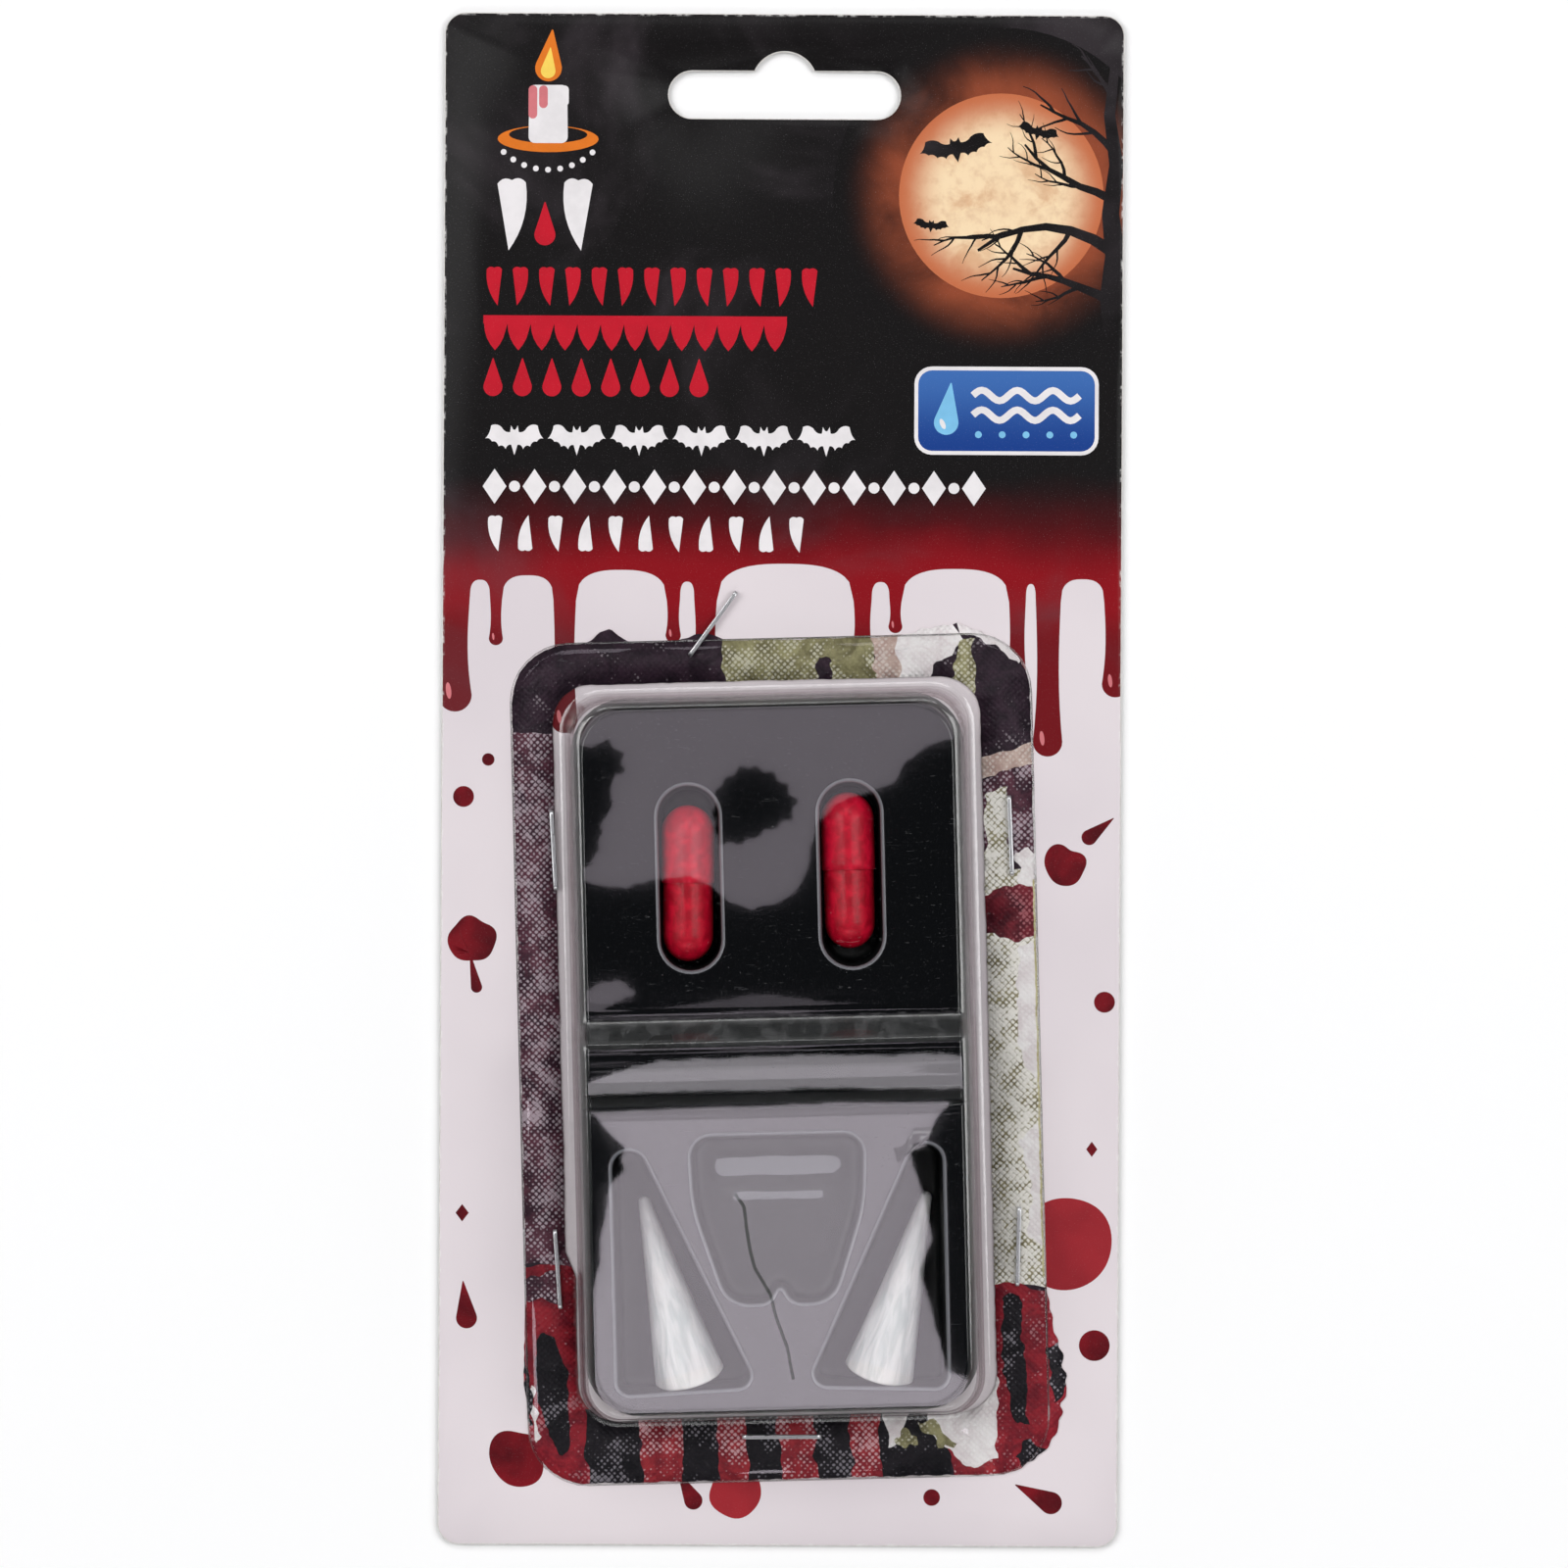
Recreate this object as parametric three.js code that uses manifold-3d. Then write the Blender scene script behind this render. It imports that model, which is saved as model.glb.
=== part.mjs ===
// A pair of fang tooth caps and a pair of capsules in a formed tray, under a clear blister
// that is stapled to a hang card. Millimetres, +Z up. The card lies on its back: its print
// faces +Z, its hang slot is towards +Y, and z = 0 is the surface under the staples' feet.

import * as THREE from "three";
import { mergeVertices } from "three/addons/utils/BufferGeometryUtils.js";
import Module from "manifold-3d";

const wasm = await Module();
wasm.setup();

// Hang card

const CARD_WIDTH = 97;
const CARD_LENGTH = 218.6;
const CARD_THICKNESS = 0.6;
const CARD_CORNER = 3;

const SLOT_WIDTH = 33;
const SLOT_HEIGHT = 6.7;
const SLOT_FROM_TOP = 11.6; // card's top edge to the middle of the slot's straight band
const SLOT_HUMP_RADIUS = 4.6;
const SLOT_HUMP_RISE = 2.8; // hump's top above the band's top

// Clear blister shell

const SHELL_WIDTH = 57.7;
const SHELL_LENGTH = 103.9;
const SHELL_CORNER = 5.5;
const SHELL_SHEET = 0.4;
const SHELL_X = -0.7; // shell's middle, off the card's
const SHELL_FROM_BOTTOM = 18.25; // card's lower edge to the shell's wall
const SHELL_TURN = 1.7; // degrees, anticlockwise: the blister was stapled on crooked
const SHELL_DRAFT = 2.2; // how far each wall leans in, up to its front edge
const SHELL_EDGE = 1.7; // rounding of the front edge

const FLANGE_LEFT = 7.7;
const FLANGE_RIGHT = 9.1;
const FLANGE_TOP = 7.4;
const FLANGE_BOTTOM = 9;
const FLANGE_CORNER = 8.5;
const FLANGE_FILLET = 0.8;

// Black formed tray

const TRAY_SHEET = 0.4;
const TRAY_TO_SHELL = 0.65; // sideways clearance under the shell's front edge
const TRAY_TO_FRONT = 0.3; // clearance under the shell's front
const TRAY_EDGE = 1; // rounding of the tray's top edge
const TRAY_DRAFT = 0.7;
const UPPER_PANEL = 10.5; // panel heights above the card
const LOWER_PANEL = 14.5;
const GROOVE_WIDTH = 2.2;
const GROOVE_DEPTH = 2.4;
const RIDGE_WIDTH = 7;
const RAMP_WIDTH = 2.9;
const DIVIDER_LAND = 5.85; // between the fang pockets' tops and the groove
const TRAY_SPLIT = 0.1; // the sheet's two halves, one node each, part along the groove's floor

// Capsules

const CAPSULE_LENGTH = 21.7;
const CAPSULE_RADIUS = 3.82;
const CAPSULE_WALL = 0.17;
const CAPSULE_CAP_LENGTH = 10.7;
const CAPSULE_FIT = 0.05;
const CAPSULE_SPACING = 22.8;
const CAPSULE_POCKET_SIDE = 1.1; // room beside a capsule
const CAPSULE_POCKET_END = 2.9; // room past each of its ends
const CAPSULE_POCKET_DEPTH = 8;
const CAPSULE_POCKET_LOW = 1.1; // the pockets' middles below the middle of their panel

// Fang caps

const FANG_LENGTH = 26.4;
const FANG_RADIUS = 5;
const FANG_TIP_RADIUS = 0.85;
const FANG_WALL = 0.75;
const FANG_HOLLOW = 15.5;
const FANG_SPACING = 26.4; // between the middles of the two wide ends
const FANG_SPLAY = 14.6; // degrees, tips outwards
const FANG_FROM_END = 4.3; // tray's lower edge to the middle of a wide end
const FANG_POCKET_TIP = 6.3; // room past the tip
const FANG_POCKET_OUTER = 4.9; // room beside the wide end, outer side
const FANG_POCKET_INNER = 3.4; // and inner side
const FANG_POCKET_END = 0.4; // past the wide end, outer side
const FANG_POCKET_SKEW = 3.2; // further past it on the inner side
const FANG_POCKET_DEPTH = 10.8;
const FANG_POCKET_CORNER = 1.8;
const FANG_POCKET_APEX = 2.4;

const CENTRE_POCKET_WIDTH = 24.4;
const CENTRE_POCKET_LENGTH = 23.6;
const CENTRE_POCKET_DEPTH = 6;
const CENTRE_POCKET_LAND = 4; // groove to pocket
const CENTRE_POCKET_CORNER = 2.8;
const CENTRE_LOBE_RADIUS = 3.2;

const POCKET_DRAFT = 0.45;
const POCKET_LIP = 0.5; // rounding round each pocket's mouth
const SEAT_GAP = 0.25; // loose piece to the pocket floor that it lies on

// Torn paper left by an older card

const RESIDUE_THICKNESS = 0.25;
const RESIDUE_GAP_SIDE = 1.8;
const RESIDUE_GAP_TOP = 1.3;
const RESIDUE_GAP_BOTTOM = 0.7;
const RESIDUE_INSET = 0.3; // flange's edge to the paper's
const RESIDUE_RAG = 0.28;
const RESIDUE_STEP = 4.5; // between the points of its ragged edge
const RESIDUE_TEAR = 3; // tufts and flaps are sized in shares of this

// Staples

const STAPLE_CROWN = 11.4;
const STAPLE_WIRE = 0.5; // flattened wire: thickness, and width
const STAPLE_WIRE_WIDTH = 0.6;
const STAPLE_FOOT = 4;
const STAPLE_CLEARANCE = 0.2;

const LAYER_GAP = 0.05; // between layers that lie on each other

const CORNER_STEPS = 5;
const HUMP_STEPS = 9; // odd, so that one facet is level at the top, where a hook bears
const ARC_STEP = Math.PI / 10;
const ROUND_SIDES = 24;
const DOME_STEPS = 5;

// Where the pieces' sizes meet

const CARD_BACK = STAPLE_WIRE + LAYER_GAP;
const CARD_FRONT = CARD_BACK + CARD_THICKNESS;
const RESIDUE_BASE = LAYER_GAP; // heights in the blister's own frame are above the card's front
const FLANGE_BASE = RESIDUE_BASE + RESIDUE_THICKNESS + LAYER_GAP;
const CROWN_BASE = FLANGE_BASE + SHELL_SHEET + LAYER_GAP;
const SHELL_Y = SHELL_FROM_BOTTOM + (SHELL_LENGTH - CARD_LENGTH) / 2;

const TRAY_INSET = SHELL_DRAFT + SHELL_SHEET + TRAY_TO_SHELL;
const TRAY_WIDTH = SHELL_WIDTH - 2 * TRAY_INSET;
const TRAY_LENGTH = SHELL_LENGTH - 2 * TRAY_INSET;
const TRAY_CORNER = Math.max(SHELL_CORNER - TRAY_INSET, TRAY_EDGE) + TRAY_EDGE;
const FRONT_RISE = TRAY_TO_FRONT + SHELL_SHEET; // shell's front above the tray's panels

const FANG_LEAN = Math.atan2(FANG_RADIUS - FANG_TIP_RADIUS, FANG_LENGTH);
const FANG_TURN = THREE.MathUtils.degToRad(FANG_SPLAY);
const FANG_Y = -TRAY_LENGTH / 2 + FANG_FROM_END;
const FANG_POCKET_TOP = FANG_Y + (FANG_LENGTH + FANG_POCKET_TIP) * Math.cos(FANG_TURN);
const GROOVE_LOW = FANG_POCKET_TOP + DIVIDER_LAND;
const RIDGE_LOW = GROOVE_LOW + GROOVE_WIDTH;
const RAMP_LOW = RIDGE_LOW + RIDGE_WIDTH;
const RAMP_HIGH = RAMP_LOW + RAMP_WIDTH;
const CAPSULE_Y = (RAMP_HIGH + TRAY_LENGTH / 2) / 2 - CAPSULE_POCKET_LOW;

// The tray's height above the card, from its lower end to its upper one

const TRAY_PROFILE = [
  { y: GROOVE_LOW, z: LOWER_PANEL },
  { y: GROOVE_LOW + 0.1 * GROOVE_WIDTH, z: LOWER_PANEL - GROOVE_DEPTH },
  { y: RIDGE_LOW - 0.1 * GROOVE_WIDTH, z: LOWER_PANEL - GROOVE_DEPTH },
  { y: RIDGE_LOW, z: LOWER_PANEL },
  { y: RAMP_LOW - 0.2 * RIDGE_WIDTH, z: LOWER_PANEL },
  { y: RAMP_LOW, z: mix(LOWER_PANEL, UPPER_PANEL, 0.12) },
  { y: RAMP_LOW + 0.85 * RAMP_WIDTH, z: mix(LOWER_PANEL, UPPER_PANEL, 0.93) },
  { y: RAMP_HIGH + 0.25 * RAMP_WIDTH, z: UPPER_PANEL },
];

// The shell follows the ramp outside it and bridges the groove

const SHELL_PROFILE = TRAY_PROFILE.slice(4).map(({ y, z }) => ({
  y: y + FRONT_RISE + SHELL_SHEET,
  z: z + FRONT_RISE,
}));

// Staples by the side of the shell that they are at: how far outside its wall as a share of
// the flange there, how far along that wall as a share of its length, and how many degrees
// off the wall's direction

const STAPLES = [
  { name: "staple_top", side: "top", out: 1.3, along: -0.126, turn: 52.2 },
  { name: "staple_bottom", side: "bottom", out: 0.29, along: -0.006, turn: -1.2 },
  { name: "staple_left_upper", side: "left", out: 0.255, along: 0.287, turn: 1.8 },
  { name: "staple_left_lower", side: "left", out: 0.37, along: -0.288, turn: 2.5 },
  { name: "staple_right_upper", side: "right", out: 0.605, along: 0.292, turn: 0.8 },
  { name: "staple_right_lower", side: "right", out: 0.57, along: -0.272, turn: -2.8 },
];

// Tufts and flaps of the torn paper: the side of the flange that they pass, where along it as
// a share of its length, how far they reach past the paper's edge and how wide they are

const TEARS = [
  { side: "top", along: -0.31, reach: 0.77, width: 0.73 },
  { side: "top", along: -0.13, reach: 0.4, width: 1 },
  { side: "top", along: 0.34, reach: 0.63, width: 1.5 },
  { side: "right", along: -0.39, reach: 0.97, width: 3 },
  { side: "left", along: -0.36, reach: 0.23, width: 2.7 },
];

// Small helpers

function mix(from, to, share) {
  return from + (to - from) * share;
}

function solidOf(geometry) {
  const bare = geometry.clone();
  bare.deleteAttribute("normal");
  bare.deleteAttribute("uv");
  const merged = mergeVertices(bare, 1e-4);
  const corners = Array.from(merged.index.array);
  const faces = corners.flatMap((_, at) => (at % 3 === 0 ? [corners.slice(at, at + 3)] : []));
  const whole = faces.filter(([a, b, c]) => a !== b && b !== c && c !== a);
  return new wasm.Manifold(
    new wasm.Mesh({
      numProp: 3,
      vertProperties: new Float32Array(merged.attributes.position.array),
      triVerts: new Uint32Array(whole.flat()),
    }),
  );
}

function geometryOf(solid) {
  const { vertProperties, triVerts } = solid.getMesh();
  return meshGeometry(vertProperties, triVerts);
}

function meshGeometry(positions, indices) {
  const geometry = new THREE.BufferGeometry();
  geometry.setAttribute("position", new THREE.BufferAttribute(new Float32Array(positions), 3));
  geometry.setIndex(Array.from(indices));
  geometry.computeVertexNormals();
  return geometry;
}

function cut(geometry, tools) {
  const solid = tools.reduce((left, tool) => left.subtract(solidOf(tool)), solidOf(geometry));
  return geometryOf(solid);
}

// Outlines are lists of THREE.Vector2, anticlockwise

function roundedPolygon(corners, steps = CORNER_STEPS) {
  return corners.flatMap(({ x, y, r }, index) => {
    const corner = new THREE.Vector2(x, y);
    const before = corners[(index + corners.length - 1) % corners.length];
    const after = corners[(index + 1) % corners.length];
    const back = new THREE.Vector2(before.x - x, before.y - y).normalize();
    const ahead = new THREE.Vector2(after.x - x, after.y - y).normalize();
    const half = Math.acos(THREE.MathUtils.clamp(back.dot(ahead), -1, 1)) / 2;
    const centre = back.clone().add(ahead).normalize();
    centre.multiplyScalar(r / Math.sin(half)).add(corner);
    const from = corner.clone().addScaledVector(back, r / Math.tan(half)).sub(centre);
    const to = corner.clone().addScaledVector(ahead, r / Math.tan(half)).sub(centre);
    const sweep = Math.atan2(from.cross(to), from.dot(to));
    return Array.from({ length: steps + 1 }, (_, step) =>
      from.clone().rotateAround(new THREE.Vector2(), (sweep * step) / steps).add(centre),
    );
  });
}

function arc(x, y, radius, from, to, steps) {
  return Array.from({ length: steps + 1 }, (_, step) => {
    const angle = mix(from, to, step / steps);
    return new THREE.Vector2(x + radius * Math.cos(angle), y + radius * Math.sin(angle));
  });
}

function aroundCircles(circles) {
  const normals = circles.map(({ x, y, r }, index) => {
    const next = circles[(index + 1) % circles.length];
    const way = new THREE.Vector2(next.x - x, next.y - y);
    return way.angle() - Math.PI / 2 + Math.asin((r - next.r) / way.length());
  });
  return circles.flatMap(({ x, y, r }, index) => {
    const from = normals[(index + circles.length - 1) % circles.length];
    const sweep = THREE.MathUtils.euclideanModulo(normals[index] - from, 2 * Math.PI);
    const steps = Math.ceil(sweep / ARC_STEP);
    return arc(x, y, r, from, from + sweep, steps);
  });
}

function offsetOutline(points, distance) {
  return points.map((point, index) => {
    const before = points[(index + points.length - 1) % points.length];
    const after = points[(index + 1) % points.length];
    const along = point.clone().sub(before).normalize();
    const next = after.clone().sub(point).normalize();
    const normal = new THREE.Vector2(along.y + next.y, -along.x - next.x).normalize();
    const stretch = Math.max(normal.dot(new THREE.Vector2(along.y, -along.x)), 0.5);
    return point.clone().addScaledVector(normal, distance / stretch);
  });
}

function boxCorners({ x0, x1, y0, y1, r }) {
  return [
    { x: x1, y: y0, r },
    { x: x1, y: y1, r },
    { x: x0, y: y1, r },
    { x: x0, y: y0, r },
  ];
}

function centredBox(width, length, r) {
  return { x0: -width / 2, x1: width / 2, y0: -length / 2, y1: length / 2, r };
}

function grow({ x0, x1, y0, y1, r }, by) {
  return { x0: x0 - by, x1: x1 + by, y0: y0 - by, y1: y1 + by, r: Math.max(r + by, 0.4) };
}

function prism(outline, holes, base, height) {
  const shape = new THREE.Shape(outline);
  shape.holes = holes.map((hole) => new THREE.Path(hole));
  const geometry = new THREE.ExtrudeGeometry(shape, { depth: height, bevelEnabled: false });
  return geometry.translate(0, 0, base);
}

// A solid through outlines of equally many points, each at its own height, lowest first

function loft(sections) {
  const count = sections[0].outline.length;
  const positions = sections.flatMap(({ outline, z }) => outline.flatMap((p) => [p.x, p.y, z]));
  const indices = [];
  for (let level = 0; level + 1 < sections.length; level += 1) {
    for (let index = 0; index < count; index += 1) {
      const next = (index + 1) % count;
      const [a, b] = [level * count + index, level * count + next];
      indices.push(a, b, b + count, a, b + count, a + count);
    }
  }
  const top = (sections.length - 1) * count;
  const caps = THREE.ShapeUtils.triangulateShape(sections[0].outline, []);
  for (const [a, b, c] of caps) {
    indices.push(a, c, b, top + a, top + b, top + c);
  }
  return meshGeometry(positions, indices);
}

// A formed sheet: rings from its rim to the edge of its front, joined by bands, with strips
// across the front. A ring is a rounded box at a height above the base, or below the front.

function frontHeight(profile, y) {
  const upper = profile.findIndex((row) => row.y >= y);
  if (upper === 0) return profile[0].z;
  if (upper < 0) return profile[profile.length - 1].z;
  const [low, high] = [profile[upper - 1], profile[upper]];
  return mix(low.z, high.z, (y - low.y) / (high.y - low.y));
}

function ringPoints(ring, profile, sheet) {
  const box = grow(ring.box, -ring.side * sheet);
  const [lowRight, highRight, highLeft, lowLeft] = Array.from({ length: 4 }, (_, index) =>
    roundedPolygon(boxCorners(box)).slice(
      index * (CORNER_STEPS + 1),
      (index + 1) * (CORNER_STEPS + 1),
    ),
  );
  const stations = profile.map(({ y }) => y);
  const rightSide = stations.map((y) => new THREE.Vector2(box.x1, y));
  const leftSide = stations.toReversed().map((y) => new THREE.Vector2(box.x0, y));
  return [lowRight, rightSide, highRight, highLeft, leftSide, lowLeft].flat().map(({ x, y }) => {
    const height = ring.rise === undefined ? frontHeight(profile, y) - ring.drop : ring.rise;
    return [x, y, height - ring.down * sheet];
  });
}

function formedSheet(rings, profile, sheet) {
  const skins = [
    rings.map((ring) => ringPoints({ ...ring, side: 0, down: 0 }, profile, sheet)),
    rings.map((ring) => ringPoints(ring, profile, sheet)),
  ];
  const count = skins[0][0].length;
  const positions = skins.flat(3);
  const start = (skin, ring) => (skin * rings.length + ring) * count;
  const indices = [];
  const face = (skin, a, b, c) => (skin === 0 ? indices.push(a, b, c) : indices.push(a, c, b));
  for (const skin of [0, 1]) {
    for (let ring = 0; ring + 1 < rings.length; ring += 1) {
      for (let index = 0; index < count; index += 1) {
        const a = start(skin, ring) + index;
        const b = start(skin, ring) + ((index + 1) % count);
        face(skin, a, b, b + count);
        face(skin, a, b + count, a + count);
      }
    }
    // the last ring's points pair up across the front: the first with the last, and so on
    const front = start(skin, rings.length - 1);
    for (let index = 0; index + 1 < count / 2; index += 1) {
      const [right, left] = [front + index, front + count - 1 - index];
      face(skin, left, right, right + 1);
      face(skin, left, right + 1, left - 1);
    }
  }
  for (let index = 0; index < count; index += 1) {
    const next = (index + 1) % count;
    const [outer, inner] = [start(0, 0), start(1, 0)];
    indices.push(outer + index, inner + index, inner + next);
    indices.push(outer + index, inner + next, outer + next);
  }
  return meshGeometry(positions, indices);
}

// Materials

function finish(color, roughness, metalness = 0, opacity = 1) {
  return new THREE.MeshStandardMaterial({
    color,
    roughness,
    metalness,
    opacity,
    transparent: opacity < 1,
  });
}

const printedCard = () => finish(0xdcd7dc, 0.35);
const clearFilm = () => finish(0xf2f4f6, 0.08, 0, 0.25);
const blackTray = () => finish(0x131415, 0.15);
const whiteResin = () => finish(0xe2e4e1, 0.45);
const redGelatin = () => finish(0xb3122e, 0.3);
const tornPaper = () => finish(0x5a3a40, 0.6);
const steelWire = () => finish(0xb9bbbd, 0.3, 1);

function piece(name, geometry, material) {
  const mesh = new THREE.Mesh(geometry, material);
  mesh.name = name;
  return mesh;
}

// Staples

const STAPLE_TOP = CROWN_BASE + STAPLE_WIRE;
const STAPLE_BOTTOM = -CARD_FRONT;

function besideShell(side, out, along) {
  const x = SHELL_WIDTH / 2;
  const y = SHELL_LENGTH / 2;
  const places = {
    top: [along * SHELL_WIDTH, y + out * FLANGE_TOP, 0],
    bottom: [along * SHELL_WIDTH, -y - out * FLANGE_BOTTOM, 0],
    left: [-x - out * FLANGE_LEFT, along * SHELL_LENGTH, 90],
    right: [x + out * FLANGE_RIGHT, along * SHELL_LENGTH, 90],
  };
  return places[side];
}

function atStaple(geometry, { side, out, along, turn }) {
  const [x, y, direction] = besideShell(side, out, along);
  geometry.rotateZ(THREE.MathUtils.degToRad(direction + turn));
  return geometry.translate(x, y, 0);
}

function stapleGeometry(row) {
  const half = STAPLE_CROWN / 2;
  const wire = STAPLE_WIRE;
  const [low, high] = [STAPLE_BOTTOM, STAPLE_TOP];
  const bend = wire / 2;
  const outline = [
    [-half + bend, low],
    [-half + STAPLE_FOOT, low],
    [-half + STAPLE_FOOT, low + wire],
    [-half + wire, low + wire],
    [-half + wire, high - wire],
    [half - wire, high - wire],
    [half - wire, low + wire],
    [half - STAPLE_FOOT, low + wire],
    [half - STAPLE_FOOT, low],
    [half - bend, low],
    [half, low + bend],
    [half, high - bend],
    [half - bend, high],
    [-half + bend, high],
    [-half, high - bend],
    [-half, low + bend],
  ].map(([x, y]) => new THREE.Vector2(x, y));
  const geometry = prism(outline, [], -STAPLE_WIRE_WIDTH / 2, STAPLE_WIRE_WIDTH);
  return atStaple(geometry.rotateX(Math.PI / 2), row);
}

// Slits for the legs, through every layer, in the blister's frame

function legSlits() {
  const thick = STAPLE_WIRE + 2 * STAPLE_CLEARANCE;
  const wide = STAPLE_WIRE_WIDTH + 2 * STAPLE_CLEARANCE;
  const legAt = (STAPLE_CROWN - STAPLE_WIRE) / 2;
  return STAPLES.flatMap((row) =>
    [-legAt, legAt].map((x) => {
      const slit = new THREE.BoxGeometry(thick, wide, 4 * (STAPLE_TOP - STAPLE_BOTTOM));
      return atStaple(slit.translate(x, 0, 0), row);
    }),
  );
}

// Hang card

function slotOutline() {
  const middle = CARD_LENGTH / 2 - SLOT_FROM_TOP;
  const end = SLOT_HEIGHT / 2;
  const bandTop = middle + end;
  const humpCentre = bandTop + SLOT_HUMP_RISE - SLOT_HUMP_RADIUS;
  const humpFoot = Math.asin((bandTop - humpCentre) / SLOT_HUMP_RADIUS);
  const quarter = Math.PI / 2;
  const straight = SLOT_WIDTH / 2 - end;
  return [
    arc(straight, middle, end, -quarter, quarter, 2 * CORNER_STEPS),
    arc(0, humpCentre, SLOT_HUMP_RADIUS, humpFoot, Math.PI - humpFoot, HUMP_STEPS),
    arc(-straight, middle, end, quarter, 3 * quarter, 2 * CORNER_STEPS),
  ].flat();
}

function backingCard(slits) {
  const outline = roundedPolygon(boxCorners(centredBox(CARD_WIDTH, CARD_LENGTH, CARD_CORNER)));
  const sheet = prism(outline, [slotOutline()], CARD_BACK, CARD_THICKNESS);
  return piece("backing_card", cut(sheet, slits), printedCard());
}

// Blister shell

const SHELL_FOOT = centredBox(SHELL_WIDTH, SHELL_LENGTH, SHELL_CORNER);
const FLANGE = {
  x0: SHELL_FOOT.x0 - FLANGE_LEFT,
  x1: SHELL_FOOT.x1 + FLANGE_RIGHT,
  y0: SHELL_FOOT.y0 - FLANGE_BOTTOM,
  y1: SHELL_FOOT.y1 + FLANGE_TOP,
  r: FLANGE_CORNER,
};

function blisterShell(slits) {
  const face = FLANGE_BASE + SHELL_SHEET;
  const leant = grow(SHELL_FOOT, -SHELL_DRAFT);
  const rings = [
    { box: FLANGE, rise: face, side: 0, down: 1 },
    { box: grow(SHELL_FOOT, FLANGE_FILLET), rise: face, side: 0.4, down: 1 },
    { box: grow(SHELL_FOOT, 0.3 * FLANGE_FILLET), rise: face + 0.3 * FLANGE_FILLET, side: 0.9, down: 0.9 },
    { box: SHELL_FOOT, rise: face + FLANGE_FILLET, side: 1, down: 0.4 },
    { box: leant, drop: 1.2 * SHELL_EDGE, side: 1, down: 0.2 },
    { box: grow(leant, -0.22 * SHELL_EDGE), drop: 0.5 * SHELL_EDGE, side: 0.9, down: 0.6 },
    { box: grow(leant, -0.6 * SHELL_EDGE), drop: 0.13 * SHELL_EDGE, side: 0.5, down: 0.9 },
    { box: grow(leant, -SHELL_EDGE), drop: 0, side: 0.2, down: 1 },
  ];
  const sheet = formedSheet(rings, SHELL_PROFILE, SHELL_SHEET);
  return piece("blister_shell", cut(sheet, slits), clearFilm());
}

// Tray: its sheet, and a cup and a hollow for each pocket

function pocketSections(outline, panel, depth, grown) {
  const floor = panel - depth;
  return [
    { outline: offsetOutline(outline, grown - POCKET_DRAFT), z: floor - grown },
    { outline: offsetOutline(outline, grown), z: panel - POCKET_LIP },
  ];
}

function pocketCup(outline, panel, depth) {
  return loft([
    ...pocketSections(outline, panel, depth, TRAY_SHEET),
    { outline: offsetOutline(outline, TRAY_SHEET + POCKET_LIP), z: panel - 0.25 * TRAY_SHEET },
  ]);
}

function pocketHollow(outline, panel, depth) {
  return loft([
    ...pocketSections(outline, panel, depth, 0),
    { outline: offsetOutline(outline, POCKET_LIP), z: panel },
    { outline: offsetOutline(outline, POCKET_LIP), z: panel + FRONT_RISE },
  ]);
}

function capsulePocketOutline(side) {
  const half = CAPSULE_RADIUS + CAPSULE_POCKET_SIDE;
  const straight = CAPSULE_LENGTH / 2 + CAPSULE_POCKET_END - half;
  const x = (side * CAPSULE_SPACING) / 2;
  return aroundCircles([
    { x, y: CAPSULE_Y + straight, r: half },
    { x, y: CAPSULE_Y - straight, r: half },
  ]);
}

function fangPocketOutline(side) {
  const r = FANG_POCKET_CORNER;
  const foot = r - FANG_POCKET_END;
  const circles = [
    { x: FANG_RADIUS + FANG_POCKET_OUTER - r, y: foot, r },
    { x: 0, y: FANG_LENGTH + FANG_POCKET_TIP - FANG_POCKET_APEX, r: FANG_POCKET_APEX },
    { x: r - FANG_RADIUS - FANG_POCKET_INNER, y: foot - FANG_POCKET_SKEW, r },
  ];
  const middle = new THREE.Vector2((side * FANG_SPACING) / 2, FANG_Y);
  const turned = aroundCircles(circles).map((point) => {
    const placed = point.rotateAround(new THREE.Vector2(), -FANG_TURN);
    placed.x *= side;
    return placed.add(middle);
  });
  return side > 0 ? turned : turned.toReversed();
}

// Two lobes at the lower end, as on a molar, with a cusp between them

const CENTRE_CORNERS = [
  { across: 0.5, down: 0, r: CENTRE_POCKET_CORNER },
  { across: -0.5, down: 0, r: CENTRE_POCKET_CORNER },
  { across: -0.44, down: 0.5, r: 4 * CENTRE_POCKET_CORNER },
  { across: -0.27, down: 1, r: CENTRE_LOBE_RADIUS },
  { across: -0.06, down: 1, r: 0.6 * CENTRE_LOBE_RADIUS },
  { across: 0, down: 0.86, r: 0.1 * CENTRE_LOBE_RADIUS },
  { across: 0.06, down: 1, r: 0.6 * CENTRE_LOBE_RADIUS },
  { across: 0.27, down: 1, r: CENTRE_LOBE_RADIUS },
  { across: 0.44, down: 0.5, r: 4 * CENTRE_POCKET_CORNER },
];

function centrePocketOutline() {
  const top = GROOVE_LOW - CENTRE_POCKET_LAND;
  const corners = CENTRE_CORNERS.map(({ across, down, r }) => ({
    x: across * CENTRE_POCKET_WIDTH,
    y: top - down * CENTRE_POCKET_LENGTH,
    r,
  }));
  return roundedPolygon(corners, 3);
}

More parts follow.
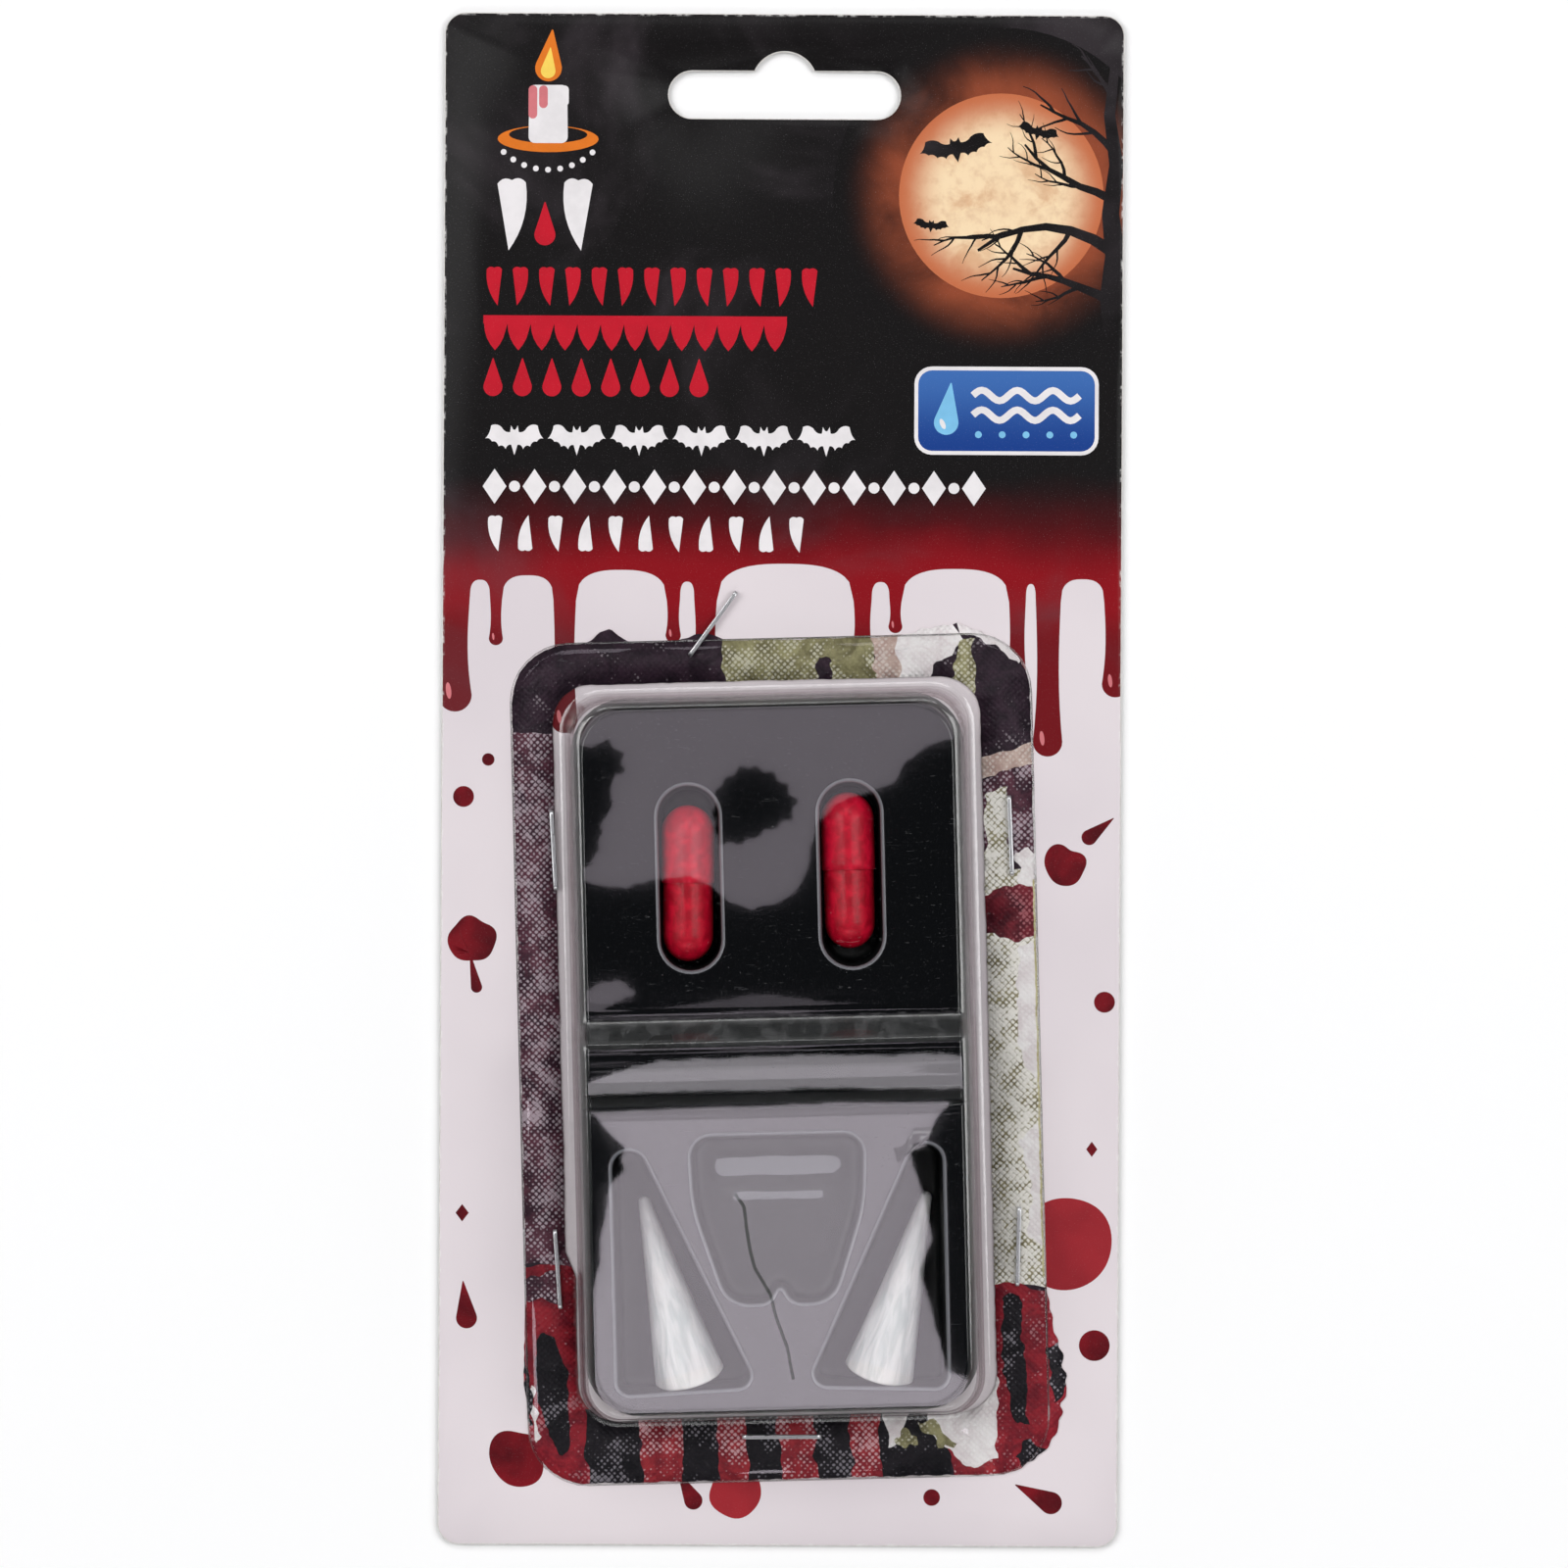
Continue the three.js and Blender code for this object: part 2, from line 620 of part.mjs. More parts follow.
function insertTray() {
  const topBox = centredBox(TRAY_WIDTH, TRAY_LENGTH, TRAY_CORNER);
  const rings = [
    { box: grow(topBox, TRAY_DRAFT), rise: LAYER_GAP, side: 1, down: 0 },
    { box: topBox, drop: 1.1 * TRAY_EDGE, side: 1, down: 0.2 },
    { box: grow(topBox, -0.3 * TRAY_EDGE), drop: 0.35 * TRAY_EDGE, side: 0.8, down: 0.7 },
    { box: grow(topBox, -TRAY_EDGE), drop: 0, side: 0.3, down: 1 },
  ];
  const pockets = [
    [capsulePocketOutline(-1), UPPER_PANEL, CAPSULE_POCKET_DEPTH],
    [capsulePocketOutline(1), UPPER_PANEL, CAPSULE_POCKET_DEPTH],
    [fangPocketOutline(-1), LOWER_PANEL, FANG_POCKET_DEPTH],
    [fangPocketOutline(1), LOWER_PANEL, FANG_POCKET_DEPTH],
    [centrePocketOutline(), LOWER_PANEL, CENTRE_POCKET_DEPTH],
  ];
  const sheet = solidOf(formedSheet(rings, TRAY_PROFILE, TRAY_SHEET));
  const cupped = pockets.reduce((solid, row) => solid.add(solidOf(pocketCup(...row))), sheet);
  const hollows = pockets.map((row) => pocketHollow(...row));
  const whole = solidOf(cut(geometryOf(cupped), hollows));
  const middle = GROOVE_LOW + GROOVE_WIDTH / 2;
  const upper = whole.trimByPlane([0, 1, 0], middle + TRAY_SPLIT / 2);
  const lower = whole.trimByPlane([0, -1, 0], TRAY_SPLIT / 2 - middle);
  return [
    piece("insert_tray_upper", geometryOf(upper), blackTray()),
    piece("insert_tray_lower", geometryOf(lower), blackTray()),
  ];
}

// Torn paper: it follows the flange's edge with a rag, tufts and flaps

function tornOutline() {
  const edge = roundedPolygon(boxCorners(grow(FLANGE, -RESIDUE_INSET)));
  const dense = edge.flatMap((point, index) => {
    const next = edge[(index + 1) % edge.length];
    const pieces = Math.ceil(point.distanceTo(next) / RESIDUE_STEP);
    return Array.from({ length: pieces }, (_, step) => point.clone().lerp(next, step / pieces));
  });
  const width = FLANGE.x1 - FLANGE.x0;
  const length = FLANGE.y1 - FLANGE.y0;
  const middle = new THREE.Vector2((FLANGE.x0 + FLANGE.x1) / 2, (FLANGE.y0 + FLANGE.y1) / 2);
  const sides = {
    top: (along) => new THREE.Vector2(middle.x + along * width, FLANGE.y1),
    left: (along) => new THREE.Vector2(FLANGE.x0, middle.y + along * length),
    right: (along) => new THREE.Vector2(FLANGE.x1, middle.y + along * length),
  };
  const centres = TEARS.map((tear) => ({ ...tear, at: sides[tear.side](tear.along) }));
  return dense.map((point, index) => {
    const rag = RESIDUE_RAG * (Math.sin(2.3 * index) + 0.6 * Math.sin(5.1 * index + 1));
    const torn = centres.reduce((sum, { at, reach, width: spread }) => {
      const away = point.distanceTo(at) / (spread * RESIDUE_TEAR);
      return sum + reach * RESIDUE_TEAR * Math.exp(-(away ** 2));
    }, rag);
    const outward = point.clone().sub(middle);
    const across = Math.abs(outward.x) / width > Math.abs(outward.y) / length;
    const way = across
      ? new THREE.Vector2(Math.sign(outward.x), 0)
      : new THREE.Vector2(0, Math.sign(outward.y));
    return point.clone().addScaledVector(way, torn);
  });
}

function sealResidue(slits) {
  const inner = {
    x0: SHELL_FOOT.x0 - RESIDUE_GAP_SIDE,
    x1: SHELL_FOOT.x1 + RESIDUE_GAP_SIDE,
    y0: SHELL_FOOT.y0 - RESIDUE_GAP_BOTTOM,
    y1: SHELL_FOOT.y1 + RESIDUE_GAP_TOP,
    r: SHELL_CORNER,
  };
  const window = roundedPolygon(boxCorners(inner));
  const sheet = prism(tornOutline(), [window], RESIDUE_BASE, RESIDUE_THICKNESS);
  return piece("seal_residue", cut(sheet, slits), tornPaper());
}

// Capsules: a filled inner half that runs the whole length, and the half that slips over it

function domed(radius, length) {
  const straight = length / 2 - radius;
  return Array.from({ length: DOME_STEPS + 1 }, (_, step) => {
    const angle = ((Math.PI / 2) * step) / DOME_STEPS;
    return new THREE.Vector2(radius * Math.cos(angle), straight + radius * Math.sin(angle));
  });
}

function onAxis(points) {
  points[0].x = Math.abs(points[0].x) < 1e-9 ? 0 : points[0].x;
  points[points.length - 1].x = 0;
  return points;
}

function capsule(side, x, y, turn) {
  const innerRadius = CAPSULE_RADIUS - CAPSULE_WALL - CAPSULE_FIT;
  const innerLength = CAPSULE_LENGTH - 2 * (CAPSULE_WALL + CAPSULE_FIT);
  const upper = domed(innerRadius, innerLength);
  const lower = upper.map(({ x: r, y: z }) => new THREE.Vector2(r, -z)).toReversed();
  lower[0].x = 0;
  const body = new THREE.LatheGeometry(onAxis([...lower, ...upper]), ROUND_SIDES);

  const mouth = CAPSULE_LENGTH / 2 - CAPSULE_CAP_LENGTH;
  const outside = domed(CAPSULE_RADIUS, CAPSULE_LENGTH);
  const inside = domed(CAPSULE_RADIUS - CAPSULE_WALL, CAPSULE_LENGTH - 2 * CAPSULE_WALL).toReversed();
  inside[0].x = 0;
  const rim = [
    new THREE.Vector2(CAPSULE_RADIUS - CAPSULE_WALL, mouth),
    new THREE.Vector2(CAPSULE_RADIUS, mouth),
  ];
  const cap = new THREE.LatheGeometry(onAxis([...inside, ...rim, ...outside]), ROUND_SIDES);

  const group = new THREE.Group();
  group.add(piece(`capsule_${side}_body`, body, redGelatin()));
  group.add(piece(`capsule_${side}_cap`, cap, redGelatin()));
  const height = UPPER_PANEL - CAPSULE_POCKET_DEPTH + SEAT_GAP + CAPSULE_RADIUS;
  group.position.set(x, y, height);
  group.rotation.z = THREE.MathUtils.degToRad(turn);
  return group;
}

// Fang caps: a hollow cone with a round tip, lying on its side with its wide end at the
// tray's lower edge

function fangGeometry() {
  const lean = Math.cos(FANG_LEAN);
  const tipCentre = FANG_LENGTH - FANG_TIP_RADIUS;
  const tip = Array.from({ length: DOME_STEPS }, (_, step) => {
    const angle = mix(FANG_LEAN, Math.PI / 2, step / (DOME_STEPS - 1));
    return new THREE.Vector2(
      FANG_TIP_RADIUS * Math.cos(angle),
      tipCentre + FANG_TIP_RADIUS * Math.sin(angle),
    );
  });
  const mouth = FANG_RADIUS - FANG_WALL / lean;
  const narrowing = (FANG_RADIUS - FANG_TIP_RADIUS) / FANG_LENGTH;
  const hollowEnd = mouth - narrowing * FANG_HOLLOW;
  const profile = [
    new THREE.Vector2(0, FANG_HOLLOW),
    new THREE.Vector2(0.6 * hollowEnd, FANG_HOLLOW - 0.15 * hollowEnd),
    new THREE.Vector2(hollowEnd, FANG_HOLLOW - hollowEnd),
    new THREE.Vector2(mouth, 0),
    new THREE.Vector2(FANG_RADIUS - 0.25 * FANG_WALL, 0),
    new THREE.Vector2(FANG_RADIUS, 0.25 * FANG_WALL),
    ...tip,
  ];
  return new THREE.LatheGeometry(onAxis(profile), ROUND_SIDES);
}

function fangCap(name, side) {
  const mesh = piece(name, fangGeometry(), whiteResin());
  mesh.rotation.x = -FANG_LEAN;
  const group = new THREE.Group();
  group.add(mesh);
  const height = LOWER_PANEL - FANG_POCKET_DEPTH + SEAT_GAP + FANG_RADIUS * Math.cos(FANG_LEAN);
  group.position.set((side * FANG_SPACING) / 2, FANG_Y, height);
  group.rotation.z = -side * FANG_TURN;
  return group;
}

// Assembly

const blister = new THREE.Group();
blister.position.set(SHELL_X, SHELL_Y, CARD_FRONT);
blister.rotation.z = THREE.MathUtils.degToRad(SHELL_TURN);
blister.updateMatrix();

const slits = legSlits();
blister.add(sealResidue(slits), blisterShell(slits), ...insertTray());
blister.add(fangCap("fang_cap_left", -1), fangCap("fang_cap_right", 1));

// each capsule has rolled and slid a little in its pocket
const capsuleX = CAPSULE_SPACING / 2;
const rolled = 0.5 * CAPSULE_POCKET_SIDE;
blister.add(capsule("left", -capsuleX - rolled, CAPSULE_Y - 0.3 * CAPSULE_POCKET_END, -1.3));
blister.add(capsule("right", capsuleX - rolled, CAPSULE_Y + 0.15 * CAPSULE_POCKET_END, 0));

for (const row of STAPLES) {
  blister.add(piece(row.name, stapleGeometry(row), steelWire()));
}

const cardSlits = slits.map((slit) => slit.clone().applyMatrix4(blister.matrix));
const assembly = new THREE.Group();
assembly.add(backingCard(cardSlits), blister);

export default assembly;
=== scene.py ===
"""A pair of fang tooth caps and a pair of capsules in a black formed tray, under a clear blister
that is stapled to a printed hang card. Tables are in millimetres and meshes in metres. The card
lies on its back, its print towards +Z and its hang slot towards +Y."""

import math
import random

import bmesh
import bpy
import numpy as np
from mathutils import Matrix, Vector
from mathutils.geometry import delaunay_2d_cdt


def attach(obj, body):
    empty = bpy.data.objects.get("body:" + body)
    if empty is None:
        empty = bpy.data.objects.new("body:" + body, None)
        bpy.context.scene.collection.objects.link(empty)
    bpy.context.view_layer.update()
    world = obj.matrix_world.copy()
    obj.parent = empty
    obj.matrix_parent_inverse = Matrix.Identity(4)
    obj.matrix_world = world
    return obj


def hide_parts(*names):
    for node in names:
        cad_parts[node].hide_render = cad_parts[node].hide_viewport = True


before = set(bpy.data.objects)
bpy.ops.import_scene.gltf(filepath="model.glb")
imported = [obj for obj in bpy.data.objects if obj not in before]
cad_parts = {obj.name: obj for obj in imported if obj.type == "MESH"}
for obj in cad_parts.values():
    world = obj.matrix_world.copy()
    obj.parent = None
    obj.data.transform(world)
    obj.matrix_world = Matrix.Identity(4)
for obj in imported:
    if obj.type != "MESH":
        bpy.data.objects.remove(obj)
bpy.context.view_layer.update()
MM = 0.001
QUARTER, TURN = math.pi / 2, 2 * math.pi
ARC_STEP = math.pi / 16

# Sizes. Most are the solids' own. The shell's draft and edge, the tray's inset, corner, draft and
# edge, the card's bevel, the caps' bulge, the room in the capsules' pockets and the seal's pitch
# are this scene's.

CARD_WIDTH, CARD_LENGTH = 97.0, 218.6
CARD_BACK, CARD_FRONT = 0.55, 1.15
CARD_CORNER, CARD_BEVEL = 3.0, 0.14
SLOT_MIDDLE = CARD_LENGTH / 2 - 11.6
SLOT_WIDTH, SLOT_HEIGHT = 33.0, 6.7
HUMP_RADIUS, HUMP_RISE = 4.6, 2.8

SHELL_X, SHELL_Y, SHELL_TURN = -0.7, -39.1, 1.7
SHELL_WIDTH, SHELL_LENGTH, SHELL_CORNER = 57.7, 103.9, 5.5
SHELL_SHEET, SHELL_DRAFT, SHELL_EDGE = 0.4, 1.1, 1.3
EDGE_DROP = 1.2 * SHELL_EDGE
FLANGE_LEFT, FLANGE_RIGHT, FLANGE_TOP, FLANGE_BOTTOM = 7.7, 9.1, 7.4, 9.0
FLANGE_CORNER, FLANGE_FILLET, FLANGE_FACE = 8.5, 0.8, 0.75

TRAY_SHEET, TRAY_INSET, TRAY_CORNER, TRAY_EDGE, TRAY_DRAFT = 0.4, 2.2, 6.6, 0.6, 1.5
TRAY_BASE = 0.05
UPPER_PANEL, LOWER_PANEL = 10.5, 14.5
FRONT_RISE = 0.7  # tray's panels to the shell's front
GROOVE_LOW, GROOVE_WIDTH, GROOVE_DEPTH = -6.91, 2.2, 2.4
RIDGE_LOW = -4.71
RAMP_LOW, RAMP_WIDTH = 2.29, 2.9

CAPSULE_LENGTH, CAPSULE_RADIUS, CAPSULE_CAP = 21.7, 3.82, 10.7
CAPSULE_WALL, CAPSULE_FIT = 0.17, 0.05
CAPSULE_Y, CAPSULE_SPACING, CAPSULE_POCKET_DEPTH = 25.5, 22.8, 8.0
CAPSULE_PAST_SIDE, CAPSULE_PAST_END = 0.5, 2.2

FANG_LENGTH, FANG_RADIUS, FANG_TIP = 26.4, 5.0, 0.85
FANG_WALL, FANG_HOLLOW, FANG_BULGE, FANG_LIP = 0.75, 15.5, 2.2, 0.3
FANG_Y, FANG_SPACING, FANG_POCKET_DEPTH = -44.4, 26.4, 10.8
FANG_SPLAY = math.radians(14.6)
FANG_PAST_TIP, FANG_PAST_OUTER, FANG_PAST_INNER = 6.3, 4.9, 3.4  # the pockets' room round a cap
FANG_PAST_END, FANG_SKEW, FANG_CORNER, FANG_APEX = 0.4, 3.2, 1.8, 2.4
APEX = 0.02  # radius that a turned form closes to

CENTRE_WIDTH, CENTRE_LENGTH, CENTRE_DEPTH = 24.4, 23.6, 6.0
CENTRE_TOP = GROOVE_LOW - 4.0
POCKET_LIP, POCKET_DRAFT, POCKET_FOOT = 0.5, 0.45, 1.0
SEAT_GAP = 0.25
SHEET_MERGE = 2e-3
WALL_RINGS = 16  # from the shell's foot up, in a duller film
HEM = 0.12  # a line of points this far in from an edge keeps its shading flat
RESIDUE_BASE, RESIDUE_THICKNESS, SEAL_PITCH = 0.05, 0.25, 0.66

STAPLE_CROWN, STAPLE_FOOT, STAPLE_TOP = 11.4, 4.0, 1.3
STAPLE_WIRE, STAPLE_WIDE, STAPLE_BEND = 0.5, 0.6, 0.42


def moved_by(x, y, z):
    return Matrix.Translation((x * MM, y * MM, z * MM))


def turned_by(degrees, axis="Z"):
    return Matrix.Rotation(math.radians(degrees), 4, axis)


BLISTER = moved_by(SHELL_X, SHELL_Y, CARD_FRONT) @ turned_by(SHELL_TURN)


def mix(a, b, share):
    return a + (b - a) * share


# Outlines: lists of (x, y), anticlockwise


def unit(rows):
    return rows / np.maximum(np.linalg.norm(rows, axis=1, keepdims=True), 1e-9)


def right_of(ways):
    return unit(np.stack([ways[:, 1], -ways[:, 0]], 1))


def arc(x, y, radius, start, end, steps):
    angles = [mix(start, end, i / steps) for i in range(steps + 1)]
    return [(x + radius * math.cos(a), y + radius * math.sin(a)) for a in angles]


def rounded_polygon(corners, steps):
    """Each corner is (x, y, radius)."""
    points = []
    for index, (x, y, r) in enumerate(corners):
        corner = Vector((x, y))
        back = (Vector(corners[index - 1][:2]) - corner).normalized()
        ahead = (Vector(corners[(index + 1) % len(corners)][:2]) - corner).normalized()
        half = math.acos(max(-1, min(1, back.dot(ahead)))) / 2
        centre = corner + (back + ahead).normalized() * (r / math.sin(half))
        a = corner + back * (r / math.tan(half)) - centre
        b = corner + ahead * (r / math.tan(half)) - centre
        sweep = math.atan2(a.x * b.y - a.y * b.x, a.dot(b))
        for step in range(steps + 1):
            points.append(tuple(centre + Matrix.Rotation(sweep * step / steps, 2) @ a))
    return points


def rounded_box(x0, x1, y0, y1, r, steps=8):
    return rounded_polygon([(x1, y0, r), (x1, y1, r), (x0, y1, r), (x0, y0, r)], steps)


def around_circles(circles):
    """The outline round circles (x, y, radius), given anticlockwise."""
    normals = []
    for index, (x, y, r) in enumerate(circles):
        nx, ny, nr = circles[(index + 1) % len(circles)]
        way = Vector((nx - x, ny - y))
        normals.append(math.atan2(way.y, way.x) - QUARTER + math.asin((r - nr) / way.length))
    points = []
    for index, (x, y, r) in enumerate(circles):
        start = normals[index - 1]
        sweep = (normals[index] - start) % TURN
        points += arc(x, y, r, start, start + sweep, max(2, math.ceil(sweep / ARC_STEP)))
    return points


def offset(points, distance):
    p = np.array(points, float)
    before, after = unit(p - np.roll(p, 1, 0)), unit(np.roll(p, -1, 0) - p)
    normal = right_of(before + after)
    stretch = np.maximum(normal[:, 0] * before[:, 1] - normal[:, 1] * before[:, 0], 0.5)
    return [tuple(q) for q in p + normal * (distance / stretch)[:, None]]


def resample(points, step, closed=True):
    """More points along an outline or an open line, at most step apart."""
    dense = []
    for a, b in zip(points, points[1:] + points[:1] if closed else points[1:]):
        pieces = max(1, math.ceil(math.dist(a, b) / step))
        dense += [(mix(a[0], b[0], i / pieces), mix(a[1], b[1], i / pieces)) for i in range(pieces)]
    return dense if closed else [*dense, points[-1]]


def pushed(points, by):
    """An outline with each point pushed outwards by its own distance."""
    p = np.array(points, float)
    normal = right_of(np.roll(p, -1, 0) - np.roll(p, 1, 0))
    return [tuple(q) for q in p + normal * np.array(by)[:, None]]


def ragged(points, size, seed, step, first=3):
    """The outline with an uneven edge, of waves that fit in its length first times and more."""
    draw = random.Random(seed)
    dense = resample(points, step)
    count = len(dense)
    wave = np.zeros(count)
    for k in range(first, max(first + 1, count // 3)):
        share = draw.uniform(-1, 1) / k**0.75
        wave += share * np.sin(TURN * k * np.arange(count) / count + draw.uniform(0, 6.28))
    return pushed(dense, wave * (size / max(1e-6, np.abs(wave).max())))


def rounded_corners(rows, reach, steps=4):
    """A line with its corners rounded over this reach."""
    rows = [np.array(row, float) for row in rows]
    line = [tuple(rows[0])]
    for before, here, after in zip(rows, rows[1:], rows[2:]):
        back, ahead = before - here, after - here
        p = here + back / np.linalg.norm(back) * min(reach, 0.45 * np.linalg.norm(back))
        q = here + ahead / np.linalg.norm(ahead) * min(reach, 0.45 * np.linalg.norm(ahead))
        for t in np.linspace(0, 1, steps + 1):
            line.append(tuple((1 - t) ** 2 * p + 2 * t * (1 - t) * here + t**2 * q))
    return [*line, tuple(rows[-1])]


def nearest(points, outlines):
    """Each point's closest place on the outlines."""
    p = np.asarray(points, float)
    best, place = np.full(len(p), 1e9), p.copy()
    for outline in outlines:
        a = np.asarray(outline, float)
        way = np.roll(a, -1, 0) - a
        t = ((p[:, None] - a) * way).sum(2) / np.maximum((way**2).sum(1), 1e-12)
        q = a + np.clip(t, 0, 1)[:, :, None] * way
        gap = np.linalg.norm(q - p[:, None], axis=2)
        at, each = gap.argmin(1), np.arange(len(p))
        closer = gap[each, at] < best
        best[closer] = gap[each, at][closer]
        place[closer] = q[each, at][closer]
    return place


def inside(points, outline, ends=None):
    """Which of the points lie in the outline, or between edges with these ends, by the even-odd
    rule."""
    p, o = np.asarray(points, float), np.asarray(outline, float)
    n = np.roll(o, -1, 0) if ends is None else np.asarray(ends, float)
    x, y = p[:, :1], p[:, 1:2]
    spans = (o[:, 1] > y) != (n[:, 1] > y)
    rise = np.where(n[:, 1] == o[:, 1], 1e-12, n[:, 1] - o[:, 1])
    crossing = o[:, 0] + (y - o[:, 1]) * (n[:, 0] - o[:, 0]) / rise
    return (np.logical_and(spans, x < crossing).sum(1) % 2) == 1


def plate(outline, holes, regions=(), loose=(), lines=()):
    """Points and triangles inside the outline and outside the holes, and for each triangle the
    number of the last region that holds it. A region is (outline, number). The triangles keep to
    all outlines, to open lines and to loose points."""
    coords, edges = [], []
    for loop in [outline, *holes, *[r[0] for r in regions]]:
        start, count = len(coords), len(loop)
        coords += [Vector(p) for p in loop]
        edges += [(start + i, start + (i + 1) % count) for i in range(count)]
    for line in lines:
        start = len(coords)
        coords += [Vector(p) for p in line]
        edges += [(start + i, start + i + 1) for i in range(len(line) - 1)]
    coords += [Vector(p) for p in loose]
    spots, _, faces, *_ = delaunay_2d_cdt(coords, edges, [], 0, 1e-5)
    points, faces = np.array([tuple(p) for p in spots]), [list(f) for f in faces]
    corners = points[np.array(faces)]
    centres = corners.mean(1)
    (ax, ay), (bx, by) = (corners[:, 1] - corners[:, 0]).T, (corners[:, 2] - corners[:, 0]).T
    keep = inside(centres, outline) & (np.abs(ax * by - ay * bx) > 2e-5)
    for hole in holes:
        keep &= ~inside(centres, hole)
    number = np.zeros(len(faces), int)
    for loop, value in regions:
        number[inside(centres, loop)] = value
    kept = np.nonzero(keep)[0]
    return points, [faces[i] for i in kept], [int(number[i]) for i in kept]


# Meshes


def link(piece):
    bpy.context.scene.collection.objects.link(piece)
    return piece


class Build:
    """Collects vertices in millimetres, faces and material numbers, and makes one object."""

    def __init__(self):
        self.vertices, self.faces, self.numbers = [], [], []

    def add(self, vertices, faces, numbers=0):
        start = len(self.vertices)
        self.vertices += [tuple(v) for v in vertices]
        self.faces += [[start + i for i in f] for f in faces]
        self.numbers += [numbers] * len(faces) if isinstance(numbers, int) else list(numbers)

    def bands(self, rings, number=0):
        """Quads between closed rings of equally many points."""
        count = len(rings[0])
        faces = []
        for level in range(len(rings) - 1):
            for i in range(count):
                a, b = level * count + i, level * count + (i + 1) % count
                faces.append([a, b, b + count, a + count])
        self.add([p for ring in rings for p in ring], faces, number)

    def make(self, name, materials, slot, replaces, matrix=None, merge=1e-3):
        data = bpy.data.meshes.new(name)
        data.from_pydata([(x * MM, y * MM, z * MM) for x, y, z in self.vertices], [], self.faces)
        data.polygons.foreach_set("material_index", self.numbers)
        data.polygons.foreach_set("use_smooth", [True] * len(self.faces))
        for material in materials:
            data.materials.append(material)
        work = bmesh.new()
        work.from_mesh(data)
        bmesh.ops.remove_doubles(work, verts=work.verts, dist=merge * MM)
        bmesh.ops.recalc_face_normals(work, faces=work.faces)
        work.to_mesh(data)
        work.free()
        piece = link(bpy.data.objects.new(name, data))
        if matrix is not None:
            piece.matrix_world = matrix
            bpy.context.view_layer.update()
        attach(piece, "root")
        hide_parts(*replaces)
        return piece


def solidify(piece, thickness):
    modifier = piece.modifiers.new("sheet", "SOLIDIFY")
    modifier.thickness = thickness * MM
    modifier.offset = -1
    modifier.use_even_offset = True
    modifier.use_quality_normals = True


def open_edges(work):
    return [e for e in work.edges if len(e.link_faces) == 1]


def slab(name, cut, top, base, materials, side, back, rim=None, **rest):
    """A flat cut with sides and a back. Rim is (outlines, height): its edge first falls to these."""
    points, faces, numbers = cut
    build = Build()
    build.add([(x, y, top) for x, y in points], faces, numbers)
    piece = build.make(name, materials, merge=1e-4, **rest)
    work = bmesh.new()
    work.from_mesh(piece.data)
    bmesh.ops.delete(work, geom=[v for v in work.verts if not v.link_faces], context="VERTS")

    for goal, height in ([rim] if rim else []) + [(None, base)]:
        made = bmesh.ops.extrude_edge_only(work, edges=open_edges(work))["geom"]
        fresh = [v for v in made if isinstance(v, bmesh.types.BMVert)]
        for face in made:
            if isinstance(face, bmesh.types.BMFace):
                face.material_index, face.smooth = side, False
        if goal is not None:
            places = nearest([(v.co.x / MM, v.co.y / MM) for v in fresh], goal)
            for v, (x, y) in zip(fresh, places):
                v.co.x, v.co.y = x * MM, y * MM
        for v in fresh:
            v.co.z = height * MM

    edges = open_edges(work)
    corners = list(dict.fromkeys(v for e in edges for v in e.verts))
    flat = [Vector((v.co.x / MM, v.co.y / MM)) for v in corners]
    index = {v: i for i, v in enumerate(corners)}
    links = [(index[e.verts[0]], index[e.verts[1]]) for e in edges]
    spots, _, faces, origin, *_ = delaunay_2d_cdt(flat, links, [], 0, 1e-5)
    middles = [sum((spots[i] for i in face), Vector((0, 0))) / 3 for face in faces]
    kept = inside(middles, [flat[a] for a, _ in links], [flat[b] for _, b in links])
    for face, good in zip(faces, kept):
        if good:
            made = work.faces.new([corners[origin[i][0]] for i in face])
            made.material_index, made.smooth = back, False
    bmesh.ops.recalc_face_normals(work, faces=work.faces)
    work.to_mesh(piece.data)
    work.free()


# Materials: a small helper that writes node graphs


class Signal:
    """A node's output, for use in sums."""

    def __init__(self, nodes, socket):
        self.nodes, self.socket = nodes, socket

    def __add__(self, other):
        return self.nodes.math("ADD", self, other)

    def __sub__(self, other):
        return self.nodes.math("SUBTRACT", self, other)

    def __mul__(self, other):
        return self.nodes.math("MULTIPLY", self, other)

    def __abs__(self):
        return self.nodes.math("ABSOLUTE", self)


